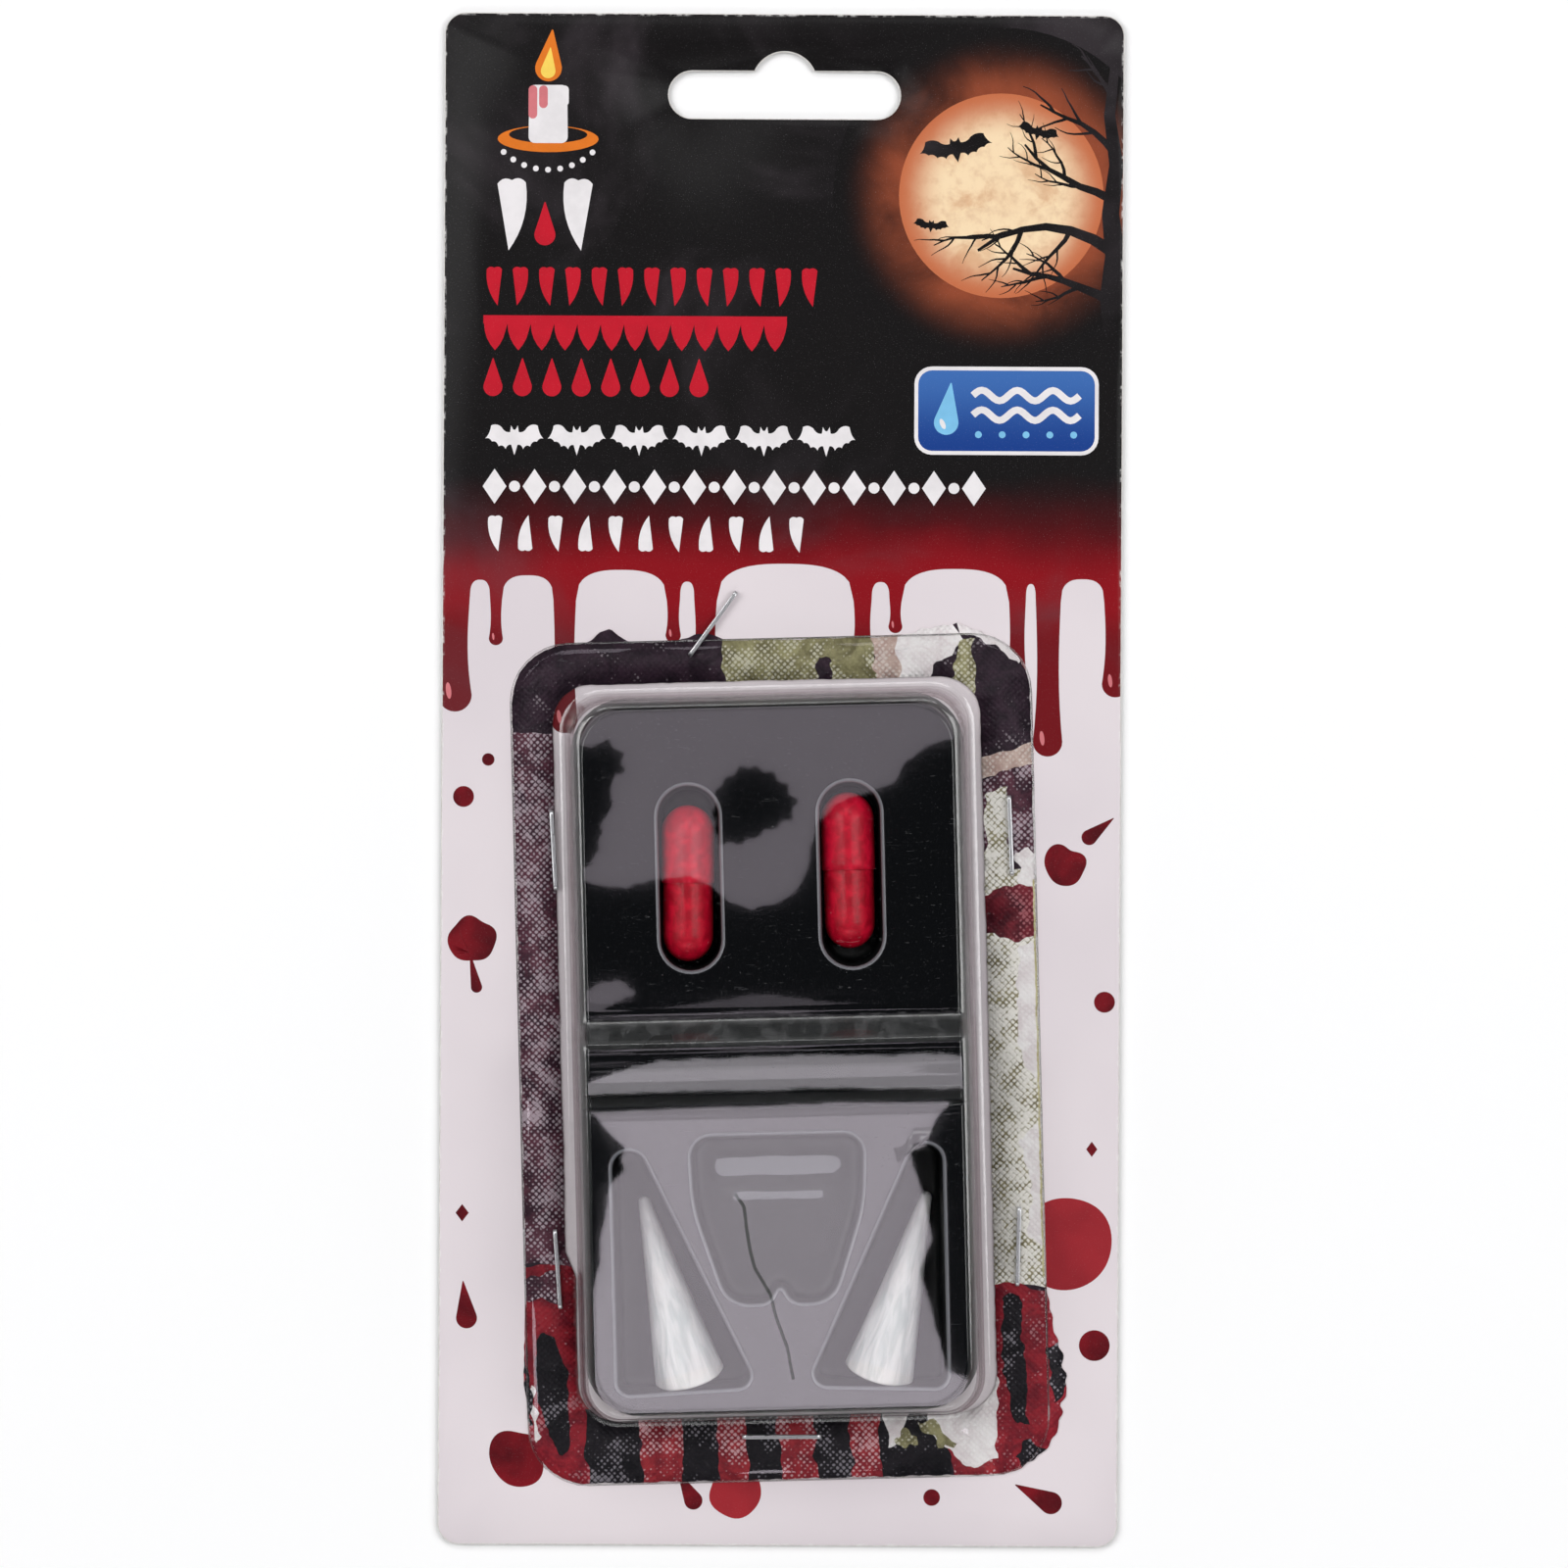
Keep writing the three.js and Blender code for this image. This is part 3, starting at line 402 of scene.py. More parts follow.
class Nodes:
    def __init__(self, name):
        self.material = bpy.data.materials.new(name)
        self.material.use_nodes = True
        self.tree = self.material.node_tree
        self.shader = self.tree.nodes["Principled BSDF"]
        self.output = self.tree.nodes["Material Output"]
        self.place = self.node("ShaderNodeTexCoord").outputs["Object"]

    def node(self, kind, inputs=None, **settings):
        made = self.tree.nodes.new(kind)
        for key, value in settings.items():
            setattr(made, key, value)
        for key, value in (inputs or {}).items():
            self.put(made.inputs[key], value)
        return made

    def put(self, socket, value):
        value = value.socket if isinstance(value, Signal) else value
        if isinstance(value, bpy.types.NodeSocket):
            self.tree.links.new(value, socket)
        elif isinstance(value, (tuple, list)) and len(value) == 3 and socket.type == "RGBA":
            socket.default_value = (*value, 1)
        else:
            socket.default_value = value

    def set(self, **values):
        for key, value in values.items():
            self.put(self.shader.inputs[key.replace("_", " ")], value)

    def math(self, operation, *values):
        made = self.node("ShaderNodeMath", dict(enumerate(values)), operation=operation)
        return Signal(self, made.outputs[0])

    def ramp(self, value, low, high):
        """0 below low and 1 above high, or the other way round."""
        rises = low <= high
        inputs = {"Value": value, "From Min": min(low, high), "From Max": max(low, high)}
        inputs |= {"To Min": 0 if rises else 1, "To Max": 1 if rises else 0}
        made = self.node("ShaderNodeMapRange", inputs, interpolation_type="SMOOTHSTEP")
        return Signal(self, made.outputs[0])

    def blend(self, share, a, b, kind="MIX"):
        made = self.node("ShaderNodeMix", data_type="RGBA", blend_type=kind)
        for index, value in ((0, share), (6, a), (7, b)):
            self.put(made.inputs[index], value)
        return Signal(self, made.outputs[2])

    def scaled(self, x, y=None, z=None, turn=0.0):
        """The object's own coordinates in units of 1 mm, times the scale."""
        y, z = (x if y is None else y), (x if z is None else z)
        inputs = {"Vector": self.place, "Scale": (x / MM, y / MM, z / MM), "Rotation": (0, 0, turn)}
        return Signal(self, self.node("ShaderNodeMapping", inputs).outputs[0])

    def noise(self, scale, detail=2.0, rough=0.5, distort=0.0, vector=None):
        """Noise with about scale features in a millimetre."""
        inputs = {"Vector": vector or self.scaled(1), "Scale": scale, "Detail": detail}
        inputs |= {"Roughness": rough, "Distortion": distort}
        return Signal(self, self.node("ShaderNodeTexNoise", inputs).outputs[0])

    def axis(self, name):
        """One of the object's own coordinates, in millimetres."""
        split = self.node("ShaderNodeSeparateXYZ", {0: self.scaled(1)})
        return Signal(self, split.outputs[name])

    def bump(self, height, distance, strength=1.0, after=None):
        """Distance is the height in millimetres that a value of 1 stands for."""
        inputs = {"Strength": strength, "Distance": distance * MM, "Height": height}
        if after is not None:
            inputs["Normal"] = after
        return Signal(self, self.node("ShaderNodeBump", inputs).outputs[0])

    def either(self, share, a, b):
        """One shader or the other."""
        return self.node("ShaderNodeMixShader", {0: share, 1: a, 2: b}).outputs[0]


def srgb(code):
    """A colour as the eye sees it, in six hex digits, for a shader."""
    values = [int(code[i : i + 2], 16) / 255 for i in (0, 2, 4)]
    return tuple(c / 12.92 if c <= 0.04045 else ((c + 0.055) / 1.055) ** 2.4 for c in values)


def print_finish(n, colour, sheen=0.3):
    """Coated paperboard: a fine tooth in the coating, and white wear at the card's edges."""
    tooth, speck = n.noise(2.6, 3, 0.6), n.noise(7.0, 1)
    near = [
        n.ramp(abs(n.axis(name)), size / 2 - 0.5, size / 2)
        for name, size in (("X", CARD_WIDTH), ("Y", CARD_LENGTH))
    ]
    scuffed = n.math("MAXIMUM", *near) * n.ramp(n.noise(0.7, 3, 0.65), 0.48, 0.66)
    mottled = n.blend(n.ramp(tooth, 0.25, 0.75), colour, (0.5, 0.5, 0.5), "SOFT_LIGHT")
    flecked = n.blend(n.ramp(speck, 0.66, 0.78) * 0.1, mottled, srgb("ebe6e8"))
    n.set(Base_Color=n.blend(scuffed, flecked, srgb("eceae9")), Roughness=tooth * 0.16 + sheen)
    n.set(Normal=n.bump(tooth, 0.02, 0.5, n.bump(n.noise(0.05), 0.3, 0.35)))
    n.set(Specular_IOR_Level=0.12)
    return n.material


def ink(name, code):
    n, colour = Nodes(f"ink_{name}"), srgb(code)
    worn = n.ramp(n.noise(0.25, 4, 0.6), 0.35, 0.7)
    return print_finish(n, n.blend(worn, colour, tuple(c * 0.9 for c in colour)))


def cloudy_ink(name, scale, distort, code, other, sheen):
    n = Nodes(f"ink_{name}")
    cloud = n.ramp(n.noise(scale, 3, 0.5, distort), 0.3, 0.7)
    return print_finish(n, n.blend(cloud, srgb(code), srgb(other)), sheen)


NIGHT_BLACK = srgb("110f10")


def night_ink():
    """Black that turns into a dark red towards the drips, with large grey patches of painted glare
    over it.
    """
    n = Nodes("ink_night")
    y = n.axis("Y") + (n.noise(0.05, 3, 0.55) - 0.5) * 9.0
    tone = NIGHT_BLACK
    for high, low, code in ((44, 33, "540810"), (37, 29, "8a0c18"), (26, 19, "701018")):
        tone = n.blend(n.ramp(y, high, low), tone, srgb(code))
    # painted glare: large grey patches over the black, a painted reflection on the glossy coating
    haze_and_painted_light = n.ramp(n.noise(0.03, 4, 0.6, 0.6), 0.48, 0.78) * 0.5
    return print_finish(n, n.blend(haze_and_painted_light, tone, srgb("4e464c")), 0.27)


def from_moon(n):
    x, y = n.axis("X") - MOON[0], n.axis("Y") - MOON[1]
    return n.math("SQRT", x * x + y * y)


def moon_ink():
    n = Nodes("ink_moon")
    edge = n.ramp(from_moon(n), 0.55 * MOON[2], MOON[2])
    seas = n.ramp(n.noise(0.11, 5, 0.6, 0.8), 0.46, 0.64) * 0.55
    fine = n.ramp(n.noise(0.6, 3, 0.6), 0.4, 0.75) * 0.3
    face = n.blend(fine, n.blend(seas, srgb("f6dbb4"), srgb("d0986e")), srgb("be8764"))
    return print_finish(n, n.blend(edge, face, srgb("c46e48")))


def glow_ink():
    """Haze round the moon."""
    n = Nodes("ink_glow")
    near = n.ramp(from_moon(n), MOON_GLOW, MOON[2])
    near = near * near * n.ramp(n.noise(0.08, 4, 0.6, 0.5), 0.1, 0.7)
    return print_finish(n, n.blend(near, NIGHT_BLACK, srgb("964a30")), 0.27)


def badge_ink():
    n = Nodes("ink_badge")
    down = n.ramp(n.axis("Y"), 59, 47)
    return print_finish(n, n.blend(down, srgb("3e6cb2"), srgb("183e8a")), 0.26)


def board(name, code, dark):
    """Bare pulp board."""
    n = Nodes(name)
    fibres = n.noise(1.0, 4, 0.65, 0.3, n.scaled(1.2, 0.5, 1.2))
    flecks = n.ramp(n.noise(3.2, 2, 0.6), 0.68, 0.74) * 0.5
    pulp = n.blend(n.ramp(fibres, 0.3, 0.7), srgb(code), srgb(dark))
    n.set(Base_Color=n.blend(flecks, pulp, srgb("80766a")))
    n.set(Roughness=0.86, Normal=n.bump(fibres, 0.05, 0.7))
    return n.material


def clear_film(name="clear_film", gloss=0.012, haze_and_painted_light=0.0, grazing=0.96):
    """Thin clear sheet: it passes light straight through and mirrors by its angle, up to the
    grazing share. Haze is how much of it the drawing lines of a steep wall turn milky; any haze also
    turns the see-through colour a dark red where the sheet is seen edge-on, a painted shade line along
    a steep wall."""
    n = Nodes(name)
    n.tree.nodes.remove(n.shader)
    orange, ripple = n.noise(0.55, 3, 0.6, 0.3), n.noise(0.075, 3, 0.55, 0.5)
    normal = n.bump(orange, 0.0002, 1.0, n.bump(ripple, 0.001))
    slant = n.node("ShaderNodeLayerWeight", {"Blend": 0.5, "Normal": normal})
    facing = Signal(n, slant.outputs["Facing"])
    mirrored = n.math("MULTIPLY_ADD", n.math("POWER", facing, 5.0), grazing, 0.04)
    rough = n.ramp(n.noise(0.35, 4, 0.65, 0.5), 0.55, 0.8) * 0.006 + gloss
    mirror = {"Color": (1, 1, 1), "Roughness": rough, "Normal": normal}
    clear = (0.988, 0.99, 0.989)
    # painted shade: seen edge-on, the sheet passes a darker, reddish light, a dark line along the
    # shell's wall
    if haze_and_painted_light:
        clear = n.blend(n.ramp(facing, 0.74, 0.94), clear, (0.42, 0.34, 0.36))
    sheet = n.either(
        mirrored,
        n.node("ShaderNodeBsdfTransparent", {"Color": clear}).outputs[0],
        n.node("ShaderNodeBsdfGlossy", mirror).outputs[0],
    )
    scratch = n.ramp(n.noise(0.7, 2, 0.5, 2.5, n.scaled(0.4, 2.2, 1, 0.7)), 0.72, 0.76)
    milky = n.math("MAXIMUM", scratch, n.ramp(n.noise(3.4, 1, 0.4), 0.76, 0.8)) * 0.09
    if haze_and_painted_light:
        drawn = n.ramp(n.noise(1.0, 3, 0.6, 0.3, n.scaled(0.5, 0.5, 0.06)), 0.45, 0.72)
        milky = n.math("MAXIMUM", milky, drawn * haze_and_painted_light)
    matt = n.node("ShaderNodeBsdfDiffuse", {"Color": (0.8, 0.8, 0.82)}).outputs[0]
    n.put(n.output.inputs["Surface"], n.either(milky, sheet, matt))
    return n.material


def black_plastic(name, code, rough, shine=0.5):
    """Glossy black sheet, drawn in the mould: ripples, pimples and fine scratches."""
    n = Nodes(name)
    drawn, grain = n.noise(0.14, 3, 0.6, 0.6), n.noise(2.2, 3, 0.65)
    scratch = n.ramp(n.noise(0.8, 2, 0.5, 2.5, n.scaled(0.4, 2.4, 1, 0.5)), 0.7, 0.75)
    light = n.math("MAXIMUM", scratch, n.ramp(n.noise(3.8, 1, 0.4), 0.73, 0.78)) * 0.14
    n.set(Base_Color=n.blend(light, srgb(code), srgb("78787c")), Roughness=grain * 0.03 + rough)
    n.set(Normal=n.bump(grain, 0.0001, 1.0, n.bump(drawn, 0.001)), Specular_IOR_Level=shine)
    return n.material


def tooth_resin():
    """Tooth-white resin with faint streaks and dents along the cap."""
    n = Nodes("white_resin")
    streak = n.noise(1.0, 3, 0.6, 0.6, n.scaled(0.75, 0.75, 0.07))
    fine = n.noise(1.0, 2, 0.5, 0.2, n.scaled(2.6, 2.6, 0.16))
    stain = n.ramp(n.noise(0.16, 3, 0.6, 0.4), 0.35, 0.75)
    colour = n.blend(n.ramp(streak, 0.4, 0.66) * 0.75, srgb("dedede"), srgb("b0b8b8"))
    colour = n.blend(stain * 0.35, colour, srgb("d6cccc"))
    mouth = n.ramp(n.axis("Z"), 0.5, 0.0) * 0.15
    n.set(Base_Color=n.blend(mouth, colour, srgb("e2d4c4")), Roughness=0.36)
    n.set(Normal=n.bump(fine, 0.04, 0.6, n.bump(streak, 0.3, 0.6)), Subsurface_Weight=0.08)
    n.set(Subsurface_Radius=(0.002, 0.0015, 0.001), Subsurface_Scale=1.0)
    return n.material


def gelatin(part, code, deep):
    """Dark red gelatin over a powder filling: soft mottling, small dents."""
    n = Nodes(f"red_gelatin_{part}")
    powder, dents = n.noise(0.55, 4, 0.6, 0.4), n.noise(0.28, 3, 0.5, 0.6)
    bubbles = n.ramp(n.noise(1.3, 2, 0.5), 0.7, 0.78)
    shade = n.blend(n.ramp(powder, 0.3, 0.72), srgb(deep), srgb(code))
    n.set(Base_Color=n.blend(bubbles * 0.35, shade, srgb("e25464")), Roughness=powder * 0.2 + 0.3)
    n.set(Normal=n.bump(bubbles, 0.04, 0.6, n.bump(dents, 0.2, 0.6)), Specular_IOR_Level=0.25)
    n.set(Coat_Weight=0.08, Coat_Roughness=0.15)
    return n.material


def wire_steel():
    n = Nodes("steel_wire")
    drawn = n.noise(1.0, 3, 0.6, 0.0, n.scaled(0.8, 6.0, 6.0))
    n.set(Base_Color=n.blend(drawn, srgb("e4e4e6"), srgb("babcc0")), Metallic=1.0)
    n.set(Roughness=drawn * 0.2 + 0.2, Normal=n.bump(drawn, 0.01, 0.7))
    return n.material


def torn_print(name, code, dark, fibre, seal, patch):
    """Paper torn off an older card: print with pale fibre showing in a seal's crosshatch. Seal
    is how much of the crosshatch shows, and patch how large its bare places are."""
    n = Nodes(f"torn_{name}")
    wander = (n.noise(0.5) - 0.5) * 0.5
    x, y = n.axis("X"), n.axis("Y")
    waves = [
        abs(n.math("SINE", (across + wander) * (math.pi / (SEAL_PITCH * math.sqrt(2)))))
        for across in (x + y, x - y)
    ]
    knurl = waves[0] * waves[1]
    rag = (n.noise(1.1, 4, 0.75, 0.6) - 0.5) * 2.2 + (n.noise(0.33, 3, 0.6, 0.5) - 0.5) * 2.0
    where = n.ramp(n.noise(0.13, 4, 0.65, 0.6), 0.62 - 0.3 * patch, 0.7 - 0.22 * patch)
    level = knurl + rag + ((where - 1.0) * 0.7 + (0.3 * patch - 0.3))
    pale = n.ramp(level, 0.2, 0.75) * seal
    worn = n.blend(n.ramp(n.noise(0.3, 5, 0.7, 0.5), 0.35, 0.66), srgb(code), srgb(dark))
    n.set(Base_Color=n.blend(pale, worn, srgb(fibre)), Roughness=pale * 0.4 + 0.45)
    n.set(Normal=n.bump(knurl + pale, 0.06, 0.8), Specular_IOR_Level=0.16)
    return n.material


# Printed card: the art is cut into its face, a region and a material for each ink

MOON, MOON_GLOW = (31.0, 83.5, 14.6), 24.0
PANEL_ROOT = 27.5
DRIPS = [  # middle, half width, tip
    (-46.6, 2.4, 9.5), (-40.8, 1.0, 19.0), (-31.0, 1.9, 6.5), (-15.5, 1.1, 19.5),
    (-10.9, 1.9, 14.0), (11.5, 1.5, 17.0), (16.2, 1.0, 21.0), (33.6, 1.4, 13.0), (38.0, 2.1, 3.5),
    (47.6, 1.9, 12.0),
]
PALE, NIGHT, BLOOD, VEIL, GLOW, MOONLIT, WHITE, RED, BADGE, ORANGE, YELLOW, SKY, SHINE = range(13)
CORE, BACK = 13, 14


def drip_edge():
    """The night panel with its lower edge running down in drips and arching up between them."""
    edge, root = [(-60, PANEL_ROOT)], PANEL_ROOT - 2
    for index, (x, half, tip) in enumerate(DRIPS):
        if index:
            before = DRIPS[index - 1]
            x0, x1 = before[0] + 0.85 * before[1], x - 0.85 * half
            middle, reach = (x0 + x1) / 2, (x1 - x0) / 2
            for t in np.linspace(-1, 1, 31)[1:-1]:
                up = (2.4 + 0.3 * reach) * (1 - abs(t) ** 2.7) ** (1 / 2.7)
                edge.append((middle + reach * t, root + up))
        end = tip + half
        shares = np.linspace(0, 1, 9)
        wide = [half * (0.85 - 0.12 * math.sin(math.pi * s) + 0.15 * s**4) for s in shares]
        down = [mix(root, end, s) for s in shares]
        edge += [(x - w, y) for w, y in zip(wide, down)]
        edge += arc(x, end, half, math.pi, TURN, 14)[1:-1]
        edge += [(x + w, y) for w, y in zip(wide[::-1], down[::-1])]
    return edge + [(60, PANEL_ROOT), (60, 120), (-60, 120)]


def around(steps):
    return np.linspace(0, TURN, steps, endpoint=False)


def moved(points, x, y, turn, scale=1.0):
    c, s = math.cos(turn) * scale, math.sin(turn) * scale
    return [(x + px * c - py * s, y + px * s + py * c) for px, py in points]


def ellipse(x, y, rx, ry, turn=0.0, steps=24):
    return moved([(rx * math.cos(a), ry * math.sin(a)) for a in around(steps)], x, y, turn)


def teardrop(x, y, radius, length, turn=0.0):
    """A round drop at x, y with its point length away, upwards before it is turned."""
    return moved(around_circles([(0, 0, radius), (0, length, 0.06 * radius)]), x, y, turn)


def lozenge(x, y, wide, tall):
    return [(x + wide / 2, y), (x, y + tall / 2), (x - wide / 2, y), (x, y - tall / 2)]


def blob(x, y, radius, uneven, seed, steps=56):
    draw = random.Random(seed)
    waves = [
        (k, draw.uniform(0, 6.28), uneven * draw.uniform(0.4, 1) / k**0.8) for k in (2, 3, 4, 5)
    ]
    points = []
    for a in around(steps):
        r = radius * (1 + sum(size * math.sin(k * a + phase) for k, phase, size in waves))
        points.append((x + r * math.cos(a), y + r * math.sin(a)))
    return points


def bowed(start, end, bulge, steps):
    """Points from start, towards end, on an arc that bulges to the right of the way."""
    (x0, y0), (x1, y1) = start, end
    points = []
    for t in [i / steps for i in range(steps)]:
        out = 4 * bulge * t * (1 - t)
        points.append((mix(x0, x1, t) + out * (y1 - y0), mix(y0, y1, t) + out * (x0 - x1)))
    return points


BAT_HALF = [  # right half from chin to head for a wingspan of 1, with the bulge to the next point
    (0.0, -0.19, 0.0), (0.055, -0.07, -0.18), (0.15, -0.12, -0.2), (0.27, -0.09, -0.2),
    (0.385, -0.035, -0.16), (0.5, 0.0, -0.1), (0.4, 0.15, 0.12), (0.22, 0.13, -0.14),
    (0.075, 0.075, 0.0), (0.058, 0.15, 0.0), (0.02, 0.105, 0.0), (0.0, 0.1, 0.0),
]


def bat(x, y, span, turn, tall=1.0):
    right = []
    for (ax, ay, bulge), (bx, by, _) in zip(BAT_HALF, BAT_HALF[1:]):
        right += bowed((ax, ay), (bx, by), bulge, 5 if bulge else 1)
    right.append(BAT_HALF[-1][:2])
    left = [(-px, py) for px, py in right[::-1] if px > 1e-6]
    return moved([(px, py * tall) for px, py in right + left], x, y, turn, span)


def branch(points, widths):
    """A tapering limb along its points."""
    left, right = [], []
    for index, (x, y) in enumerate(points):
        ahead = points[min(index + 1, len(points) - 1)]
        behind = points[max(index - 1, 0)]
        way = Vector((ahead[0] - behind[0], ahead[1] - behind[1])).normalized()
        w = widths[0] + (widths[1] - widths[0]) * index / (len(points) - 1)
        left.append((x - way.y * w / 2, y + way.x * w / 2))
        right.append((x + way.y * w / 2, y - way.x * w / 2))
    return right + left[::-1]


TRUNK = [
    (49.5, 56.5), (47.6, 63), (46.8, 69), (47.3, 75), (46.6, 81), (47.4, 88), (46.4, 95), (47.2, 103),
]
LIMBS = [  # start, angle, length, width, bend, seed
    ((46.9, 68.5), 2.75, 15, 1.5, 0.35, 3), ((47.1, 75.5), 2.45, 21, 1.8, 0.5, 5),
    ((46.8, 83.0), 2.85, 15, 1.3, -0.3, 8), ((47.2, 89.5), 2.3, 13, 1.1, 0.4, 13),
    ((46.8, 97.0), 2.0, 8, 0.8, 0.4, 21),
]


def limb(start, angle, length, width, bend, seed):
    """A crooked limb, and the twigs on it, as outlines."""
    draw = random.Random(seed)
    points, heading = [start], angle
    for _ in range(6):
        heading += bend / 6 + draw.uniform(-0.22, 0.22)
        x, y = points[-1]
        points.append((x + length / 6 * math.cos(heading), y + length / 6 * math.sin(heading)))
    outlines = [branch(points, (width, 0.22 * width))]
    if length > 6:
        for index, side in ((2, 1), (3, -1), (4, 1), (5, -1)):
            way = heading + side * draw.uniform(0.5, 0.9)
            twig = (0.45 * length, 0.42 * width, -0.5 * side, seed * 7 + index)
            outlines += limb(points[index], way, *twig)
    return outlines


def teeth_band(x, y, width, height, count):
    """A bar with a row of pointed teeth under it."""
    top, root, tip = y + height / 2, y + 0.26 * height, y - height / 2
    points = [(x + width, top), (x, top), (x, root)]
    pitch = width / count
    for left in [x + i * pitch for i in range(count)]:
        points += bowed((left + 0.03 * pitch, root), (left + 0.5 * pitch, tip), 0.1, 4)
        points += bowed((left + 0.5 * pitch, tip), (left + 0.97 * pitch, root), 0.1, 4)
    return (points + [(x + width, root)])[::-1]


def wave(x, y, length, height, thick, turns):
    steps = np.linspace(0, 1, 12 * turns + 1)
    line = [(x + length * s, y + height * math.sin(TURN * turns * s)) for s in steps]
    return branch(line, (thick, thick))


def tooth_icon(x, y, tall, turn, side=1):
    """A curved fang, its point down."""
    root, tip, crown, top = (-0.19, 0.42), (0.09, -0.5), (0.2, 0.42), (0, 0.46)
    outline = bowed(root, tip, 0.1, 8) + bowed(tip, crown, 0.0, 4)
    outline += bowed(crown, top, 0.22, 5) + bowed(top, root, 0.22, 5)
    return moved([(side * px, py) for px, py in outline], x, y, turn, tall)


SPLASHES = [
    blob(-44.0, -23.0, 3.3, 0.16, 4), blob(40.5, -12.0, 2.9, 0.2, 9),
    blob(-37.2, -97.0, 4.0, 0.14, 17), ellipse(46.3, -31.5, 1.5, 1.5),
    ellipse(45.1, -80.5, 2.2, 2.2, 0, 30), ellipse(-45.3, -2.6, 1.5, 1.5),
    ellipse(-41.8, 2.7, 0.9, 0.9, 0, 16), ellipse(22.0, -102.3, 1.2, 1.2, 0, 18),
    teardrop(-43.3, -29.8, 0.8, 5.0, 0.2), teardrop(44.0, -8.0, 1.1, 4.4, -0.9),
    teardrop(-12.0, -102.9, 1.3, 4.6, 0.5), teardrop(39.0, -103.0, 1.6, 5.6, 1.1),
    lozenge(-45.2, -62.0, 1.9, 2.5), lozenge(44.6, -52.5, 1.6, 2.2),
    teardrop(-44.5, -77.0, 1.5, 5.2, 0.1),
]


def card_art():
    """Regions of the print, (outline, number of its ink), each over those before it."""
    art = []

    def lay(number, *outlines):
        art.extend((outline, number) for outline in outlines)

    lay(NIGHT, drip_edge())
    for x, half, tip in DRIPS:
        lay(SHINE, ellipse(x - 0.38 * half, tip + 1.25 * half, 0.16 * half, 0.5 * half, 0.12, 14))

    # moon, tree and bats, in the upper right corner
    x, y, r = MOON
    lay(GLOW, ellipse(x, y, MOON_GLOW, MOON_GLOW, 0, 64))
    lay(MOONLIT, ellipse(x, y, r, r, 0, 72))
    lay(NIGHT, branch(TRUNK, (4.2, 1.2)))
    for row in LIMBS:
        lay(NIGHT, *limb(*row))
    lay(NIGHT, bat(24.5, 90.2, 10.5, 0.16), bat(36.2, 92.6, 6.2, -0.25), bat(21.0, 79.2, 5.2, -0.1))

    # candle, in the upper left corner
    x = -33.7
    lay(ORANGE, ellipse(x, 91.3, 7.2, 1.9, 0, 36))
    lay(NIGHT, ellipse(x, 91.9, 5.6, 1.2, 0, 30))
    wax = [(-35.6, 91.6, 0.9), (-31.8, 91.6, 0.9), (-31.8, 98.2, 0.8), (-35.6, 98.2, 0.8)]
    lay(WHITE, around_circles(wax))
    for dx, tip in ((-2.2, 94.8), (-0.7, 96.3), (1.1, 95.2), (2.3, 96.6)):
        run = around_circles([(x + dx, tip, 0.62), (x + dx, 98.3, 0.62)])
        lay(SHINE if dx < 0 else WHITE, run)
    lay(ORANGE, teardrop(x, 101.4, 1.9, 5.4, -0.1))
    lay(YELLOW, teardrop(-33.75, 101.0, 1.05, 3.3, -0.1))
    for a in np.linspace(-0.75, 0.75, 9):
        lay(WHITE, ellipse(x + 9.3 * math.sin(a), 96.2 - 9.3 * math.cos(a), 0.42, 0.42, 0, 12))

    # a pair of fangs with a drop between them
    lay(WHITE, tooth_icon(-38.6, 80.6, 10.4, 0.05, -1), tooth_icon(-29.6, 80.6, 10.4, -0.05))
    lay(RED, teardrop(-34.1, 77.6, 1.5, 4.6))

    # ornament rows
    lay(RED, *[tooth_icon(-41.3 + 3.75 * i, 70.3, 5.6, 0, 1 - 2 * (i % 2)) for i in range(13)])
    lay(RED, teeth_band(-42.8, 63.6, 43.3, 5.0, 13))
    lay(RED, *[teardrop(-41.4 + 4.2 * i, 55.9, 1.35, 4.0) for i in range(8)])
    lay(WHITE, *[bat(-38.3 + 8.9 * i, 48.5, 8.3, 0, 1.5) for i in range(6)])
    for i in range(12):
        lay(WHITE, lozenge(-41.1 + 5.7 * i, 41.7, 3.4, 5.0))
        lay(WHITE, ellipse(-38.25 + 5.7 * i, 41.7, 0.8, 0.8, 0, 14))
    lay(WHITE, lozenge(-41.1 + 5.7 * 12, 41.7, 3.4, 5.0))
    for i in range(11):
        flip = i % 2
        lay(WHITE, tooth_icon(-41.0 + 4.3 * i, 35.0, 5.2, math.pi * flip, 1 - 2 * flip))

    # wash badge: a drop over two waves
    x, y = 31.9, 52.8
    lay(WHITE, rounded_box(x - 13.15, x + 13.15, y - 6.3, y + 6.3, 2.5, 6))
    lay(BADGE, rounded_box(x - 12.6, x + 12.6, y - 5.75, y + 5.75, 2.0, 6))
    lay(SKY, teardrop(x - 8.6, y - 1.7, 1.75, 5.6, -0.12))
    lay(WHITE, ellipse(x - 9.1, y - 1.9, 0.35, 0.8, 0.4, 12))
    lay(WHITE, *[wave(x - 4.8, y + dy, 15.2, 0.75, 1.0, 3) for dy in (2.2, -0.6)])
    lay(SKY, *[ellipse(x - 4.0 + 3.4 * i, y - 3.4, 0.5, 0.5, 0, 12) for i in range(5)])

    # drops and splashes over the pale part
    lay(BLOOD, *SPLASHES)
    lay(VEIL, blob(41.0, -66.0, 6.6, 0.03, 2, 64), blob(-6.0, -101.5, 3.8, 0.08, 6, 48))
    return art


